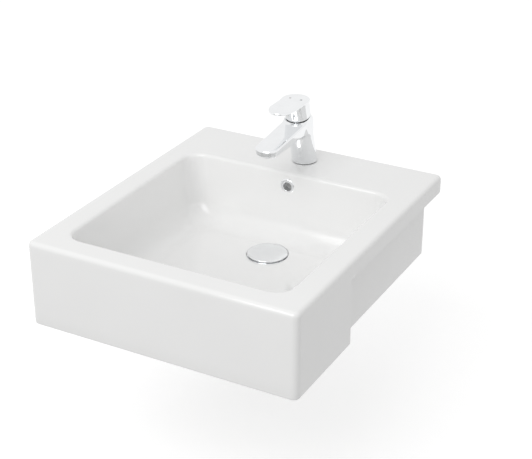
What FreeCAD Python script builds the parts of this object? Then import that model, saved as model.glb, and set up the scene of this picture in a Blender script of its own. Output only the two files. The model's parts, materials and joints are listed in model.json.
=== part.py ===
import FreeCAD, Part
import math
import os
import re
import Sketcher

# Semi recessed basin with a single-lever tap and a push-open waste.
#
# Frame: X to the right, Y to the back, Z up, in millimetres. The origin is the
# centre of the rear seat strip, on the seat plane, where the rim's underside rests.

Vector = FreeCAD.Vector

PAST = 1      # how far a cutter runs past the face that it opens
NEAR = 1      # how loose the bounding box of a curved edge may be
EXACT = 0.01  # two lengths this close are the same

# ---------------------------------------------------------------------------
# Driving sizes: name, value, what it measures
# ---------------------------------------------------------------------------
DRIVING = [
    # Ceramic basin
    ("basin_width", 480, "rim, left to right"),
    ("basin_depth", 552, "rim, front to back"),
    ("rim_height", 31, "rim above the seat plane"),
    ("body_depth", 117, "apron below the seat plane"),
    ("front_projection", 183, "apron in front of its two stop faces"),
    ("seat_overhang", 20, "seat strip under the rim at the sides and back"),
    ("corner_radius", 11, "vertical outer corners"),
    ("rim_edge_radius", 8, "outer top edge of the rim"),
    ("foot_edge_radius", 3, "lower edge of the apron"),
    ("wall", 12, "ceramic wall"),
    ("deck_thickness", 14, "ceramic of the rim and tap deck"),
    ("rim_side", 43, "rim beside the bowl"),
    ("rim_front", 44, "rim in front of the bowl"),
    ("deck_depth", 123, "tap deck behind the bowl"),
    ("bowl_depth", 95, "bowl floor at the drain below the seat plane"),
    ("bowl_corner", 30, "plan radius of the bowl's corners"),
    ("bowl_blend", 42, "radius between bowl wall and floor"),
    ("bowl_draft", 7, "lean of the bowl walls from rim to blend"),
    ("bowl_fall", 4, "fall of the floor towards the drain"),
    ("bowl_lip", 6, "rounding where the rim turns into the bowl"),
    ("drain_setback", 75.4, "drain centre in front of the bowl's back"),
    ("drain_clearance", 1.85, "drain hole around the waste tail"),
    ("boss_radius", 40, "drain boss under the floor"),
    ("boss_length", 30, "drain boss from the floor down"),
    ("duct_width", 22, "overflow duct, left to right"),
    ("duct_depth", 9, "overflow duct, front to back"),
    ("duct_wall", 8, "ceramic around the overflow duct"),
    ("duct_drop", 12, "floor to the top of the duct's foot"),
    ("overflow_height", 5.5, "overflow hole above the seat plane"),
    ("overflow_radius", 9, "overflow hole"),
    ("overflow_sink", 1, "overflow ring seat behind the bowl's back edge"),
    ("tap_hole_radius", 17.5, "tap hole in the deck"),
    # Overflow ring
    ("ring_radius", 14.5, "overflow ring flange"),
    ("ring_thickness", 2, "overflow ring flange"),
    ("ring_wall", 1, "overflow ring sleeve"),
    ("ring_sleeve", 10, "overflow ring sleeve length"),
    # Waste
    ("tail_radius", 20.95, "waste tail thread, G 1 1/4"),
    ("tail_wall", 3, "waste tail"),
    ("tail_length", 78, "waste tail below the flange"),
    ("flange_radius", 36, "waste flange"),
    ("flange_thickness", 3.5, "waste flange"),
    ("flange_play", 0.5, "basin recess around the flange"),
    ("flange_dish", 5, "dish of the flange"),
    ("gasket_thickness", 1.5, "gasket under the waste flange"),
    ("gasket_inset", 1, "gasket inside the flange's edge"),
    ("boss_seal", 4, "rubber washer under the drain boss"),
    ("slip_washer", 1.5, "plastic washer over the back nut"),
    ("washer_overhang", 2, "both washers beyond the back nut"),
    ("backnut_radius", 30, "back nut"),
    ("backnut_height", 9, "back nut"),
    ("groove_height", 2, "thread relief under the back nut"),
    ("groove_depth", 0.8, "thread relief under the back nut"),
    ("notch_depth", 3, "spanner notches in the back nut"),
    ("slot_height", 10, "overflow slots in the waste tail"),
    ("cap_radius", 35.5, "waste cap"),
    ("cap_height", 4.4, "waste cap edge"),
    ("cap_dome", 0.8, "rise of the cap towards its centre"),
    ("cap_skin", 2, "waste cap plate"),
    ("cap_clearance", 0.3, "cap above the flange when shut"),
    ("cap_lift", 8, "travel of the waste cap"),
    ("cap_seal_radius", 31, "rubber seal under the cap"),
    ("cap_seal_wall", 3, "rubber seal under the cap"),
    ("plunger_radius", 4, "plunger under the cap"),
    ("plunger_hold", 26, "plunger below the cap's plate, less the cap's travel"),
    ("plunger_fit", 0.06, "plunger in its guide"),
    ("guide_wall", 2.5, "plunger guide"),
    ("guide_depth", 50, "foot of the plunger guide below the flange"),
    ("spider_top", 26, "top of the guide's spokes below the flange"),
    ("spider_height", 8, "guide's rim and spokes"),
    ("spoke_width", 3, "guide's spokes"),
    ("spring_wire", 0.9, "plunger spring wire"),
    ("spring_turns", 6, "plunger spring turns"),
    # Tap
    ("tap_setback", 59, "tap centre in front of the rim's back edge"),
    ("tap_lean", 16.5, "forward lean of the tap, degrees"),
    ("tap_radius", 22.3, "tap body"),
    ("tap_length", 100.1, "tap body along its axis, to the handle skirt"),
    ("base_seal", 1.2, "rubber seal under the tap"),
    ("base_seal_inset", 1.3, "rubber seal inside the tap's outline"),
    ("handle_gap", 1.5, "gap between tap body and handle skirt"),
    ("spout_half_width", 19, "spout"),
    ("spout_reach", 140, "outlet side: tap centre to outlet centre"),
    ("spout_tip", 16.5, "tip of the spout in front of the outlet centre"),
    ("spout_nose", 16, "rounded front part of the spout's plan"),
    ("spout_root_drop", 8.98, "top of the spout at the tap body below the skirt's edge"),
    ("spout_fall", 0.1, "fall of the spout's top per millimetre forwards"),
    ("spout_depth", 24, "spout at the tap body, from top to underside"),
    ("spout_edge", 3, "rounding of the spout's edges"),
    ("spout_bore", 4.5, "water channel in the spout"),
    ("spout_floor", 2, "metal under the water channel"),
    ("inlet_radius", 4.46, "M10 x 1 hose sockets"),
    ("inlet_depth", 12, "hose sockets"),
    ("inlet_offset", 7, "hose sockets left and right of centre"),
    ("passage_radius", 3, "water passages up to the cartridge"),
    ("passage_lap", 5, "water passages inside the hose sockets"),
    ("stud_radius", 4, "mounting stud, M8"),
    ("stud_offset", 12, "mounting stud behind the tap centre"),
    ("stud_engagement", 12, "mounting stud inside the tap"),
    ("stud_length", 68, "mounting stud"),
    ("stud_clearance", 0.3, "holes around the mounting stud"),
    ("horseshoe_radius", 24, "horseshoe plates"),
    ("horseshoe_slot", 15, "half width of the horseshoe's mouth"),
    ("horseshoe_land", 2, "horseshoe in front of the stud"),
    ("horseshoe_rubber", 2, "horseshoe gasket"),
    ("horseshoe_steel", 2.5, "horseshoe washer"),
    ("stud_nut_radius", 7, "stud nut"),
    ("stud_nut_height", 8, "stud nut"),
    # Outlet
    ("aerator_radius", 12, "aerator thread, M24 x 1"),
    ("aerator_wall", 2.2, "aerator housing"),
    ("aerator_height", 8, "aerator housing"),
    ("aerator_drop", 1.5, "aerator below the spout"),
    ("aerator_lip", 1, "housing below the insert, seal inside the housing"),
    ("aerator_seal_height", 1.5, "aerator seal"),
    ("aerator_hole", 1.3, "aerator insert's jets"),
    ("aerator_pitch", 4.1, "from one jet to the next"),
    # Cartridge, heights measured down from the handle skirt
    ("bore_radius", 17.7, "cartridge bore"),
    ("seat_drop", 38, "cartridge seat"),
    ("port_setback", 2, "water ports behind the cartridge axis"),
    ("port_seal", 1, "inlet seals under the cartridge"),
    ("port_seal_wall", 1.6, "inlet seals under the cartridge"),
    ("cartridge_play", 0.4, "cartridge in its bore"),
    ("base_plate", 4, "cartridge base plate"),
    ("disc_height", 4, "ceramic discs"),
    ("disc_radius", 14.3, "fixed ceramic disc"),
    ("disc_play", 0.1, "fixed ceramic disc in the shell"),
    ("moving_disc_radius", 11.6, "moving ceramic disc and its carrier"),
    ("mixing_radius", 7, "hollow in the moving ceramic disc"),
    ("disc_film", 0.1, "between the sliding ceramic discs"),
    ("shell_wall", 1.5, "cartridge shell"),
    ("window_half", 5, "water windows in the shell"),
    ("shoulder_drop", 9.5, "cartridge shoulder"),
    ("neck_radius", 12.4, "cartridge neck"),
    ("neck_drop", 2, "top of the cartridge neck"),
    ("rotor_radius", 11.8, "rotor in the cartridge neck"),
    ("rotor_fit", 0.1, "rotor in the cartridge neck"),
    ("rotor_flange", 2.4, "rotor flange"),
    ("rotor_gap", 0.6, "rotor above the disc carrier"),
    ("rotor_top_drop", 1, "top of the rotor"),
    ("nut_height", 5, "cartridge nut"),
    ("pivot_drop", 10, "lever pivot"),
    ("pin_radius", 1.5, "lever pivot pin"),
    ("pin_inset", 1, "pivot pin inside the rotor's rim"),
    ("pin_fit", 0.06, "stem on the pivot pin"),
    ("stem_reach", 11.5, "lever pivot to the ball"),
    ("stem_size", 8, "square stem"),
    ("stem_neck", 2, "radius of the stem above its ball"),
    ("stem_rise", 27, "square stem above the handle skirt's edge"),
    ("stem_play", 0.2, "stem in the rotor's slot"),
    ("ball_radius", 2.8, "ball at the stem's foot"),
    ("ball_cover", 2, "disc carrier above the ball's centre"),
    ("ball_play", 0.3, "ball in its socket"),
    ("oring_wire", 0.85, "cartridge O-ring section radius"),
    ("oring_drop", 3, "cartridge O-ring below the shoulder"),
    # Collar and handle
    ("dome_radius", 21.7, "collar dome around the lever pivot"),
    ("dome_wall", 2.5, "collar dome"),
    ("dome_mouth", 13.5, "opening of the collar dome"),
    ("collar_foot", 3, "collar inside the tap body"),
    ("handle_rise", 32.7, "top of the lever above the skirt's edge"),
    ("handle_plate", 4, "lever plate"),
    ("handle_half_width", 23.3, "lever plate"),
    ("handle_tip", 86.2, "tip of the lever in front of the skirt's centre"),
    ("lever_nose", 31, "rounded front part of the lever plate's plan"),
    ("handle_edge", 1.2, "rounding of the lever's edges"),
    ("skirt_wall", 2.5, "handle skirt"),
    ("lever_range", 22, "lift of the lever, degrees"),
    ("relief_clearance", 0.5, "raised lever's skirt above the tap body"),
    ("socket_radius", 8, "stem socket in the handle"),
    ("socket_rise", 12, "foot of the stem socket above the skirt's edge"),
    ("socket_play", 0.1, "stem in its socket"),
    ("grub_radius", 2.5, "grub screw, M5"),
    ("grub_rise", 20, "grub screw above the skirt's edge"),
    ("grub_length", 6, "grub screw"),
    ("mark_radius", 2, "temperature marks"),
    ("mark_depth", 1.5, "temperature marks"),
    ("mark_offset", 10.5, "temperature marks left and right of centre"),
]

# Sizes that follow from the driving ones: name, formula
DERIVED = [
    ("half_width", "basin_width / 2"),
    ("back", "seat_overhang / 2"),
    ("front", "back - basin_depth"),
    ("shoulder", "front + front_projection"),
    ("hollow_top", "rim_height - deck_thickness"),
    ("bowl_half", "half_width - rim_side"),
    ("bowl_front", "front + rim_front"),
    ("bowl_back", "back - deck_depth"),
    ("floor", "-bowl_depth"),
    ("drain_y", "bowl_back - drain_setback"),
    ("drain_radius", "tail_radius + drain_clearance"),
    ("duct_front", "bowl_back + wall"),
    ("duct_back", "duct_front + duct_depth"),
    ("ring_seat", "bowl_back - overflow_sink"),
    ("tail_bore", "tail_radius - tail_wall"),
    ("gasket_top", "-flange_thickness"),
    ("gasket_bottom", "gasket_top - gasket_thickness"),
    ("boss_foot", "-boss_length"),
    ("seal_foot", "boss_foot - boss_seal"),
    ("washer_foot", "seal_foot - slip_washer"),
    ("backnut_foot", "washer_foot - backnut_height"),
    ("slot_foot", "-duct_drop - slot_height"),
    ("cap_foot", "cap_clearance"),
    ("cap_top", "cap_foot + cap_height"),
    ("cap_ceiling", "cap_top - cap_skin"),
    ("plunger_foot", "cap_ceiling - plunger_hold - cap_lift"),
    ("guide_bore", "plunger_radius + plunger_fit"),
    ("spring_radius", "guide_bore - spring_wire"),
    ("spring_foot", "guide_wall - guide_depth"),
    ("spring_height", "plunger_foot - spring_foot"),
    ("tap_y", "back - tap_setback"),
    ("tap_foot", "rim_height + base_seal"),
    ("head_y", "tap_y - tap_length * sin(tap_lean)"),
    ("head_z", "rim_height + tap_length * cos(tap_lean)"),
    ("stud_y", "tap_y + stud_offset"),
    ("inlet_y", "head_y + port_setback * cos(tap_lean)"
     " + (tap_length - inlet_depth) * sin(tap_lean)"),
    ("outlet_y", "tap_y - spout_reach"),
    ("spout_top", "head_z - spout_root_drop"),
    ("outlet_z", "spout_top - spout_depth"),
    ("channel_z", "outlet_z + spout_floor + spout_bore"),
    ("spout_root", "tap_y - 2 * tap_radius"),
    ("spout_end", "outlet_y - 2 * spout_half_width"),
    ("aerator_foot", "outlet_z - aerator_drop"),
    ("aerator_top", "aerator_foot + aerator_height"),
    ("body_top", "-handle_gap"),
    ("seat", "-seat_drop"),
    ("cartridge_foot", "seat + port_seal"),
    ("cartridge_radius", "bore_radius - cartridge_play"),
    ("shell_foot", "cartridge_foot + base_plate"),
    ("shell_bore", "disc_radius + disc_play"),
    ("shell_radius", "shell_bore + shell_wall"),
    ("fixed_disc_top", "shell_foot + disc_height"),
    ("moving_disc_foot", "fixed_disc_top + disc_film"),
    ("carrier_foot", "moving_disc_foot + disc_height"),
    ("pivot", "-pivot_drop"),
    ("ball_z", "pivot - stem_reach"),
    ("carrier_top", "ball_z + ball_cover"),
    ("rotor_foot", "carrier_top + rotor_gap"),
    ("rotor_top", "-rotor_top_drop"),
    ("rotor_shoulder", "rotor_foot + rotor_flange"),
    ("shell_shoulder", "rotor_shoulder + stem_play"),
    ("slot_reach", "stem_size / 2 / cos(lever_range) + stem_play"),
    ("slot_front", "slot_reach + (pivot - rotor_foot) * tan(lever_range)"),
    ("slot_back", "slot_reach + (rotor_top - pivot) * tan(lever_range)"),
    ("disc_travel", "stem_reach * sin(lever_range)"),
    ("disc_y", "disc_travel / 2"),
    ("shoulder_z", "-shoulder_drop"),
    ("oring_z", "shoulder_z - oring_drop"),
    ("oring_land", "oring_z - 2 * oring_wire - shell_wall / 2"),
    ("nut_top", "shoulder_z + nut_height"),
    ("plate_top", "head_z + handle_rise"),
    ("plate_foot", "plate_top - handle_plate"),
    ("plate_lift", "(plate_top - head_z) / cos(tap_lean)"),
    ("plate_y", "head_y - (plate_top - head_z) * tan(tap_lean)"),
    ("plate_front", "head_y - handle_tip + lever_nose"),
    ("skirt_bore", "tap_radius - skirt_wall"),
    ("relief_base", "relief_clearance - handle_gap - pivot"),
    ("relief_start", "(-pivot * cos(lever_range) - relief_base) / sin(lever_range)"),
    ("relief_end", "2 * handle_half_width"),
    ("relief_height", "pivot + (relief_base + relief_end * sin(lever_range))"
     " / cos(lever_range)"),
]

doc = FreeCAD.newDocument("Basin")
sheet = doc.addObject("Spreadsheet::Sheet", "Sizes")


def fill_sheet():
    """Write every size into the sheet, with its alias and its meaning."""
    for row, (name, value, meaning) in enumerate(DRIVING, start=1):
        sheet.set(f"A{row}", str(value))
        sheet.setAlias(f"A{row}", name)
        sheet.set(f"B{row}", meaning)
    for row, (name, formula) in enumerate(DERIVED, start=len(DRIVING) + 1):
        sheet.setAlias(f"A{row}", name)
    for row, (name, formula) in enumerate(DERIVED, start=len(DRIVING) + 1):
        sheet.set(f"A{row}", "=" + formula)
    doc.recompute()


def bound(text):
    """The same formula with every size name pointing into the sheet."""
    return re.sub(r"\b[a-z][a-z0-9_]*\b(?!\()", r"Sizes.\g<0>", str(text))


def value(text):
    """The formula's present value."""
    return float(sheet.evalExpression(bound(text)))


def bind(thing, **sizes):
    """Bind properties of an object to formulas."""
    for name, text in sizes.items():
        thing.setExpression(name, bound(text))


def put(thing, x=0, y=0, z=0, axis=(0, 0, 1), angle=0):
    """Bind an object's placement: a point, and a turn about one axis."""
    turn = FreeCAD.Rotation(Vector(*axis), value(angle) or 1)
    thing.Placement = FreeCAD.Placement(Vector(), turn)
    for letter, text in zip("xyz", (x, y, z)):
        thing.setExpression(f"Placement.Base.{letter}", bound(text))
    thing.setExpression("Placement.Rotation.Angle", bound(angle))
    return thing


def put_in_head(thing):
    """Place a piece on the leaning axis of the tap, at the skirt's edge."""
    return put(thing, 0, "head_y", "head_z", (1, 0, 0), "tap_lean")


def put_in_waste(thing):
    """Place a piece on the drain axis, at the top of the waste flange."""
    return put(thing, 0, "drain_y", "floor")


# ---------------------------------------------------------------------------
# Sketches: every point is bound to the sheet
# ---------------------------------------------------------------------------
def new_body(label):
    body = doc.addObject("PartDesign::Body", label)
    body.Label = label
    return body


def new_sketch(body, plane, offset=0):
    """A sketch on one of the body's origin planes, moved along its normal."""
    found = [f for f in body.Origin.OriginFeatures if f.Role == plane + "_Plane"]
    sketch = body.newObject("Sketcher::SketchObject", body.Name + "Sketch")
    sketch.AttachmentSupport = [(found[0], "")]
    sketch.MapMode = "FlatFace"
    sketch.setExpression("AttachmentOffset.Base.z", bound(offset))
    return sketch


def fix(sketch, kind, *where_and_text):
    """Add a dimension and bind it. The last argument is its formula."""
    *where, text = where_and_text
    index = sketch.addConstraint(Sketcher.Constraint(kind, *where, value(text)))
    sketch.setExpression(f"Constraints[{index}]", bound(text))


def draw_polygon(sketch, points):
    """A closed outline through points given as pairs of formulas."""
    spots = [Vector(value(a), value(b), 0) for a, b in points]
    count = len(points)
    first = sketch.GeometryCount
    for i in range(count):
        sketch.addGeometry(Part.LineSegment(spots[i], spots[(i + 1) % count]))
    for i in range(count):
        following = first + (i + 1) % count
        sketch.addConstraint(
            Sketcher.Constraint("Coincident", first + i, 2, following, 1))
    for i, (a, b) in enumerate(points):
        fix(sketch, "DistanceX", -1, 1, first + i, 1, a)
        fix(sketch, "DistanceY", -1, 1, first + i, 1, b)
    return sketch


def draw_circle(sketch, x, y, radius):
    circle = Part.Circle(Vector(value(x), value(y), 0), Vector(0, 0, 1), value(radius))
    index = sketch.addGeometry(circle)
    fix(sketch, "DistanceX", -1, 1, index, 3, x)
    fix(sketch, "DistanceY", -1, 1, index, 3, y)
    fix(sketch, "Radius", index, radius)
    return sketch


def draw_rounded(sketch, half, low, high, radius):
    """A rectangle from -half to +half and from low to high, with round corners."""
    a, b, c, r = value(half), value(low), value(high), value(radius)
    ends = [
        (Vector(-a + r, b, 0), Vector(a - r, b, 0)),
        (Vector(a, b + r, 0), Vector(a, c - r, 0)),
        (Vector(a - r, c, 0), Vector(-a + r, c, 0)),
        (Vector(-a, c - r, 0), Vector(-a, b + r, 0)),
    ]
    centres = [(a - r, b + r), (a - r, c - r), (-a + r, c - r), (-a + r, b + r)]
    quarter = math.pi / 2
    for start, end in ends:
        sketch.addGeometry(Part.LineSegment(start, end))
    for i, (x, y) in enumerate(centres):
        circle = Part.Circle(Vector(x, y, 0), Vector(0, 0, 1), r)
        sketch.addGeometry(Part.ArcOfCircle(circle, (i - 1) * quarter, i * quarter))
    for i in range(4):
        sketch.addConstraint(Sketcher.Constraint("Tangent", i, 2, 4 + i, 1))
        sketch.addConstraint(
            Sketcher.Constraint("Tangent", 4 + i, 2, (i + 1) % 4, 1))
    for i, direction in enumerate(("Horizontal", "Vertical", "Horizontal", "Vertical")):
        sketch.addConstraint(Sketcher.Constraint(direction, i))
    for i in (5, 6, 7):
        sketch.addConstraint(Sketcher.Constraint("Equal", 4, i))
    fix(sketch, "Radius", 4, radius)
    fix(sketch, "DistanceX", -1, 1, 1, 1, half)
    fix(sketch, "DistanceX", 3, 1, -1, 1, half)
    fix(sketch, "DistanceY", -1, 1, 0, 1, low)
    fix(sketch, "DistanceY", -1, 1, 2, 1, high)
    return sketch


def draw_tongue(sketch, half, low, high, nose):
    """A tongue along Y: straight sides at +-half, a half circle about high behind, and
    in front of low a nose of a given depth. The nose is a half ellipse drawn as an arc
    at each side, as round as the ellipse there, and a tip arc tangent to both."""
    side = f"({nose}) ^ 2 / {half}"
    tip = f"{half} * ({half} + {nose}) / (2 * {nose})"
    a, b, c, small, large = (value(text) for text in (half, low, high, tip, side))
    depth = value(nose) - small
    turn = math.atan2(abs(depth), abs(large - a))
    for x, start, end in ((a, b, c), (-a, c, b)):
        sketch.addGeometry(Part.LineSegment(Vector(x, start, 0), Vector(x, end, 0)))
    for x, y, radius, start, end in (
            (0, c, a, 0, math.pi),
            (large - a, b, large, math.pi, math.pi + turn),
            (0, b - depth, small, math.pi + turn, 2 * math.pi - turn),
            (a - large, b, large, 2 * math.pi - turn, 2 * math.pi)):
        circle = Part.Circle(Vector(x, y, 0), Vector(0, 0, 1), radius)
        sketch.addGeometry(Part.ArcOfCircle(circle, start, end))
    for one, other in ((0, 2), (2, 1), (1, 3), (3, 4), (4, 5), (5, 0)):
        sketch.addConstraint(Sketcher.Constraint("Tangent", one, 2, other, 1))
    for line in (0, 1):
        sketch.addConstraint(Sketcher.Constraint("Vertical", line))
    for arc in (2, 4):
        sketch.addConstraint(Sketcher.Constraint("PointOnObject", arc, 3, -2))
    for arc, radius in ((2, half), (3, side), (4, tip), (5, side)):
        fix(sketch, "Radius", arc, radius)
    fix(sketch, "DistanceY", -1, 1, 2, 3, high)
    fix(sketch, "DistanceY", -1, 1, 5, 3, low)
    return sketch


# ---------------------------------------------------------------------------
# Features
# ---------------------------------------------------------------------------
def pad(body, sketch, length, symmetric=False):
    feature = body.newObject("PartDesign::Pad", body.Name + "Pad")
    feature.Profile = sketch
    feature.SideType = "Symmetric" if symmetric else "One side"
    bind(feature, Length=length)
    return feature


def pocket(body, sketch, length, symmetric=False, up=False):
    """Cut a sketch out of the body: downwards, upwards or both ways."""
    feature = body.newObject("PartDesign::Pocket", body.Name + "Pocket")
    feature.Profile = sketch
    feature.SideType = "Symmetric" if symmetric else "One side"
    feature.Reversed = up
    bind(feature, Length=length)
    return feature


def turned(label, profile):
    """A body made by turning a closed (radius, height) outline about Z."""
    body = new_body(label)
    sketch = draw_polygon(new_sketch(body, "XZ"), profile)
    feature = body.newObject("PartDesign::Revolution", label + "Turn")
    feature.Profile = sketch
    feature.ReferenceAxis = (sketch, ["V_Axis"])
    feature.Angle = 360
    return body


def ring(label, inner, outer, foot, top):
    """A plain ring, tube or washer about Z."""
    return turned(label, [(inner, foot), (outer, foot), (outer, top), (inner, top)])


def rod(label, radius, foot, top):
    """A plain cylinder about Z."""
    return turned(label, [(0, foot), (radius, foot), (radius, top), (0, top)])


def round_edges(body, radius, wanted):
    """Fillet the edges of the body's last feature that the test wants."""
    doc.recompute()
    base = body.Tip
    names = [f"Edge{i}" for i, edge in enumerate(base.Shape.Edges, start=1)
             if wanted(edge)]
    feature = body.newObject("PartDesign::Fillet", body.Name + "Fillet")
    feature.Base = (base, names)
    bind(feature, Radius=radius)
    return feature


def block(label, low, high):
    """A box between two corners given as formulas."""
    box = doc.addObject("Part::Box", label)
    lengths = [f"({b}) - ({a})" for a, b in zip(low, high)]
    bind(box, Length=lengths[0], Width=lengths[1], Height=lengths[2])
    return put(box, *low)


def drum(label, radius, height, **place):
    cylinder = doc.addObject("Part::Cylinder", label)
    bind(cylinder, Radius=radius, Height=height)
    return put(cylinder, **place)


def ball(label, radius, **place):
    sphere = doc.addObject("Part::Sphere", label)
    bind(sphere, Radius=radius)
    return put(sphere, **place)


def joined(label, *pieces):
    result = doc.addObject("Part::MultiFuse", label)
    result.Shapes = list(pieces)
    result.Label = label
    return result


def minus(label, base, *tools):
    result = doc.addObject("Part::Cut", label)
    result.Base = base
    result.Tool = tools[0] if len(tools) == 1 else joined(label + "_tools", *tools)
    result.Label = label
    return result


def shared(label, one, other):
    result = doc.addObject("Part::Common", label)
    result.Base = one
    result.Tool = other
    result.Label = label
    return result


# ---------------------------------------------------------------------------
# Basin
# ---------------------------------------------------------------------------
BLEND_ANGLES = (5, 25, 45, 62, 76, 86)  # the first is the lean of the bowl's walls


def blend_step(angle):
    """Height and inset of the bowl's outline at an angle along its blend."""
    height = f"floor + bowl_fall + bowl_blend * (1 - sin({angle}))"
    inset = f"bowl_draft + bowl_blend * (1 - cos({angle}))"
    return height, inset


def bowl_outline(body, height, inset, grow):
    """The bowl's outline at one height, moved in by inset and out by grow."""
    sketch = new_sketch(body, "XY", height)
    return draw_rounded(sketch, f"bowl_half + {grow} - ({inset})",
                        f"bowl_front - {grow} + {inset}",
                        f"bowl_back + {grow} - ({inset})",
                        f"bowl_corner + {grow}")


def loft(body, kind, sketches, ruled=False):
    feature = body.newObject("PartDesign::" + kind, body.Name + kind)
    feature.Profile = sketches[0]
    feature.Sections = sketches[1:]
    feature.Ruled = ruled
    return feature


def bowl_form(body, kind, top, grow):
    """The bowl from its top down, grown outwards and lowered.

    The straight walls lean in by bowl_draft down to the blend. There the outline
    moves in along a quarter circle until the floor is nearly flat.
    """
    blend = []
    for angle in BLEND_ANGLES:
        height, inset = blend_step(angle)
        blend.append(bowl_outline(body, f"{height} - {grow}", inset, grow))
    loft(body, kind, [bowl_outline(body, top, "0", grow), blend[0]], ruled=True)
    loft(body, kind, blend)


def basin_body():
    """One ceramic casting: apron, rim, bowl, tap deck and overflow duct."""
    body = new_body("basin")
    outline = new_sketch(body, "XY", "-body_depth")
    draw_rounded(outline, "half_width", "front", "back", "corner_radius")
    pad(body, outline, "body_depth + rim_height")

    # Behind the apron the body is narrower, so that a seat strip stays under the rim.
    ledge = draw_polygon(new_sketch(body, "XY", 0), [
        ("-half_width - wall", "shoulder"),
        ("-half_width - wall", "back + wall"),
        ("half_width + wall", "back + wall"),
        ("half_width + wall", "shoulder"),
        ("half_width - seat_overhang", "shoulder"),
        ("half_width - seat_overhang", "back - seat_overhang"),
        ("seat_overhang - half_width", "back - seat_overhang"),
        ("seat_overhang - half_width", "shoulder"),
    ])
    pocket(body, ledge, "body_depth")

    # The casting is hollow from below.
    hollow = draw_polygon(new_sketch(body, "XY", "-body_depth"), [
        ("wall - half_width", "front + wall"),
        ("wall - half_width", "shoulder - wall"),
        ("wall + seat_overhang - half_width", "shoulder - wall"),
        ("wall + seat_overhang - half_width", "back - seat_overhang - wall"),
        ("half_width - seat_overhang - wall", "back - seat_overhang - wall"),
        ("half_width - seat_overhang - wall", "shoulder - wall"),
        ("half_width - wall", "shoulder - wall"),
        ("half_width - wall", "front + wall"),
    ])
    pocket(body, hollow, "body_depth + hollow_top", up=True)

    # The bowl hangs in the hollow, with the overflow duct behind it.
    bowl_form(body, "AdditiveLoft", f"hollow_top + {PAST}", "wall")
    boss = draw_circle(new_sketch(body, "XY", "floor + boss_foot"), 0, "drain_y",
                       "boss_radius")
    pad(body, boss, "boss_length")
    duct = draw_polygon(new_sketch(body, "YZ"), [
        ("drain_y", "floor + boss_foot"),
        ("duct_back + duct_wall", "floor + boss_foot"),
        ("duct_back + duct_wall", f"hollow_top + {PAST}"),
        ("drain_y", f"hollow_top + {PAST}"),
    ])
    pad(body, duct, "duct_width + 2 * duct_wall", symmetric=True)

    # The bowl itself, and the fall of its floor towards the drain.
    bowl_form(body, "SubtractiveLoft", f"rim_height + {EXACT}", "0")
    height, inset = blend_step(BLEND_ANGLES[-1])
    foot = draw_rounded(new_sketch(body, "XY", "floor"), "drain_radius",
                        "drain_y - drain_radius", "drain_y + drain_radius",
                        "tail_radius")
    loft(body, "SubtractiveLoft", [bowl_outline(body, height, inset, "0"), foot],
         ruled=True)

    # Drain hole with a recess for the waste flange, and the tap hole.
    recess = draw_circle(new_sketch(body, "XY", "floor + gasket_bottom"), 0, "drain_y",
                         "flange_radius + flange_play")
    pocket(body, recess, "bowl_blend", up=True)
    drain = draw_circle(new_sketch(body, "XY", "floor"), 0, "drain_y", "drain_radius")
    pocket(body, drain, f"boss_length + {PAST}")
    tap_hole = draw_circle(new_sketch(body, "XY", "rim_height"), 0, "tap_y",
                           "tap_hole_radius")
    pocket(body, tap_hole, f"deck_thickness + {PAST}")

    # Overflow: a hole in the bowl's back, a shaft down and a foot to the drain.
    shaft = draw_polygon(new_sketch(body, "YZ"), [
        ("drain_y", "floor + slot_foot"),
        ("duct_back", "floor + slot_foot"),
        ("duct_back", "overflow_height + overflow_radius"),
        ("duct_front", "overflow_height + overflow_radius"),
        ("duct_front", "floor - duct_drop"),
        ("drain_y", "floor - duct_drop"),
    ])
    pocket(body, shaft, "duct_width", symmetric=True)
    mouth = draw_circle(new_sketch(body, "XZ", f"-duct_front - {PAST}"), 0,
                        "overflow_height", "overflow_radius")
    pocket(body, mouth, "wall + bowl_blend", up=True)
    seat = draw_circle(new_sketch(body, "XZ", "-ring_seat"), 0, "overflow_height",
                       "ring_radius + flange_play")
    pocket(body, seat, "bowl_blend", up=True)
    return body


def is_level(edge, text):
    """Whether an edge lies wholly at one height."""
    box = edge.BoundBox
    return max(abs(box.ZMin - value(text)), abs(box.ZMax - value(text))) < EXACT


def is_outer(edge):
    """Whether an edge touches one of the rim's four outer sides."""
    box = edge.BoundBox
    return (max(box.XMax, -box.XMin) > value("half_width") - EXACT
            or box.YMin < value("front") + EXACT
            or box.YMax > value("back") - EXACT)


def is_rim_edge(edge):
    """The outer edge of the rim's top, all round."""
    return is_level(edge, "rim_height") and is_outer(edge)


def is_bowl_edge(edge):
    """The inner edge of the rim's top, round the bowl."""
    box = edge.BoundBox
    return (is_level(edge, "rim_height")
            and max(box.XMax, -box.XMin) < value("bowl_half") + NEAR
            and box.YMax < value("bowl_back") + NEAR
            and box.YMin > value("bowl_front") - NEAR)


def is_foot_edge(edge):
    """The outer lower edge of the apron: front and both sides."""
    starts_in_front = edge.BoundBox.YMin < value("shoulder") - EXACT
    return is_level(edge, "-body_depth") and is_outer(edge) and starts_in_front


def finish_basin(body):
    """Soften the casting's edges as the glaze does."""
    round_edges(body, "rim_edge_radius", is_rim_edge)
    round_edges(body, "bowl_lip", is_bowl_edge)
    round_edges(body, "foot_edge_radius", is_foot_edge)
    return body


def overflow_ring():
    """Chrome ring pushed into the overflow hole, facing the bowl."""
    sleeve = "overflow_radius"
    body = turned("overflow_ring", [
        (f"{sleeve} - ring_wall", "-ring_sleeve"),
        (sleeve, "-ring_sleeve"),
        (sleeve, "0"),
        ("ring_radius", "0"),
        ("ring_radius", "ring_thickness / 2"),
        ("ring_radius - ring_thickness / 2", "ring_thickness"),
        (sleeve, "ring_thickness"),
        (f"{sleeve} - ring_wall", "ring_thickness / 2"),
    ])
    return put(body, 0, "ring_seat", "overflow_height", (1, 0, 0), 90)


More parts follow.
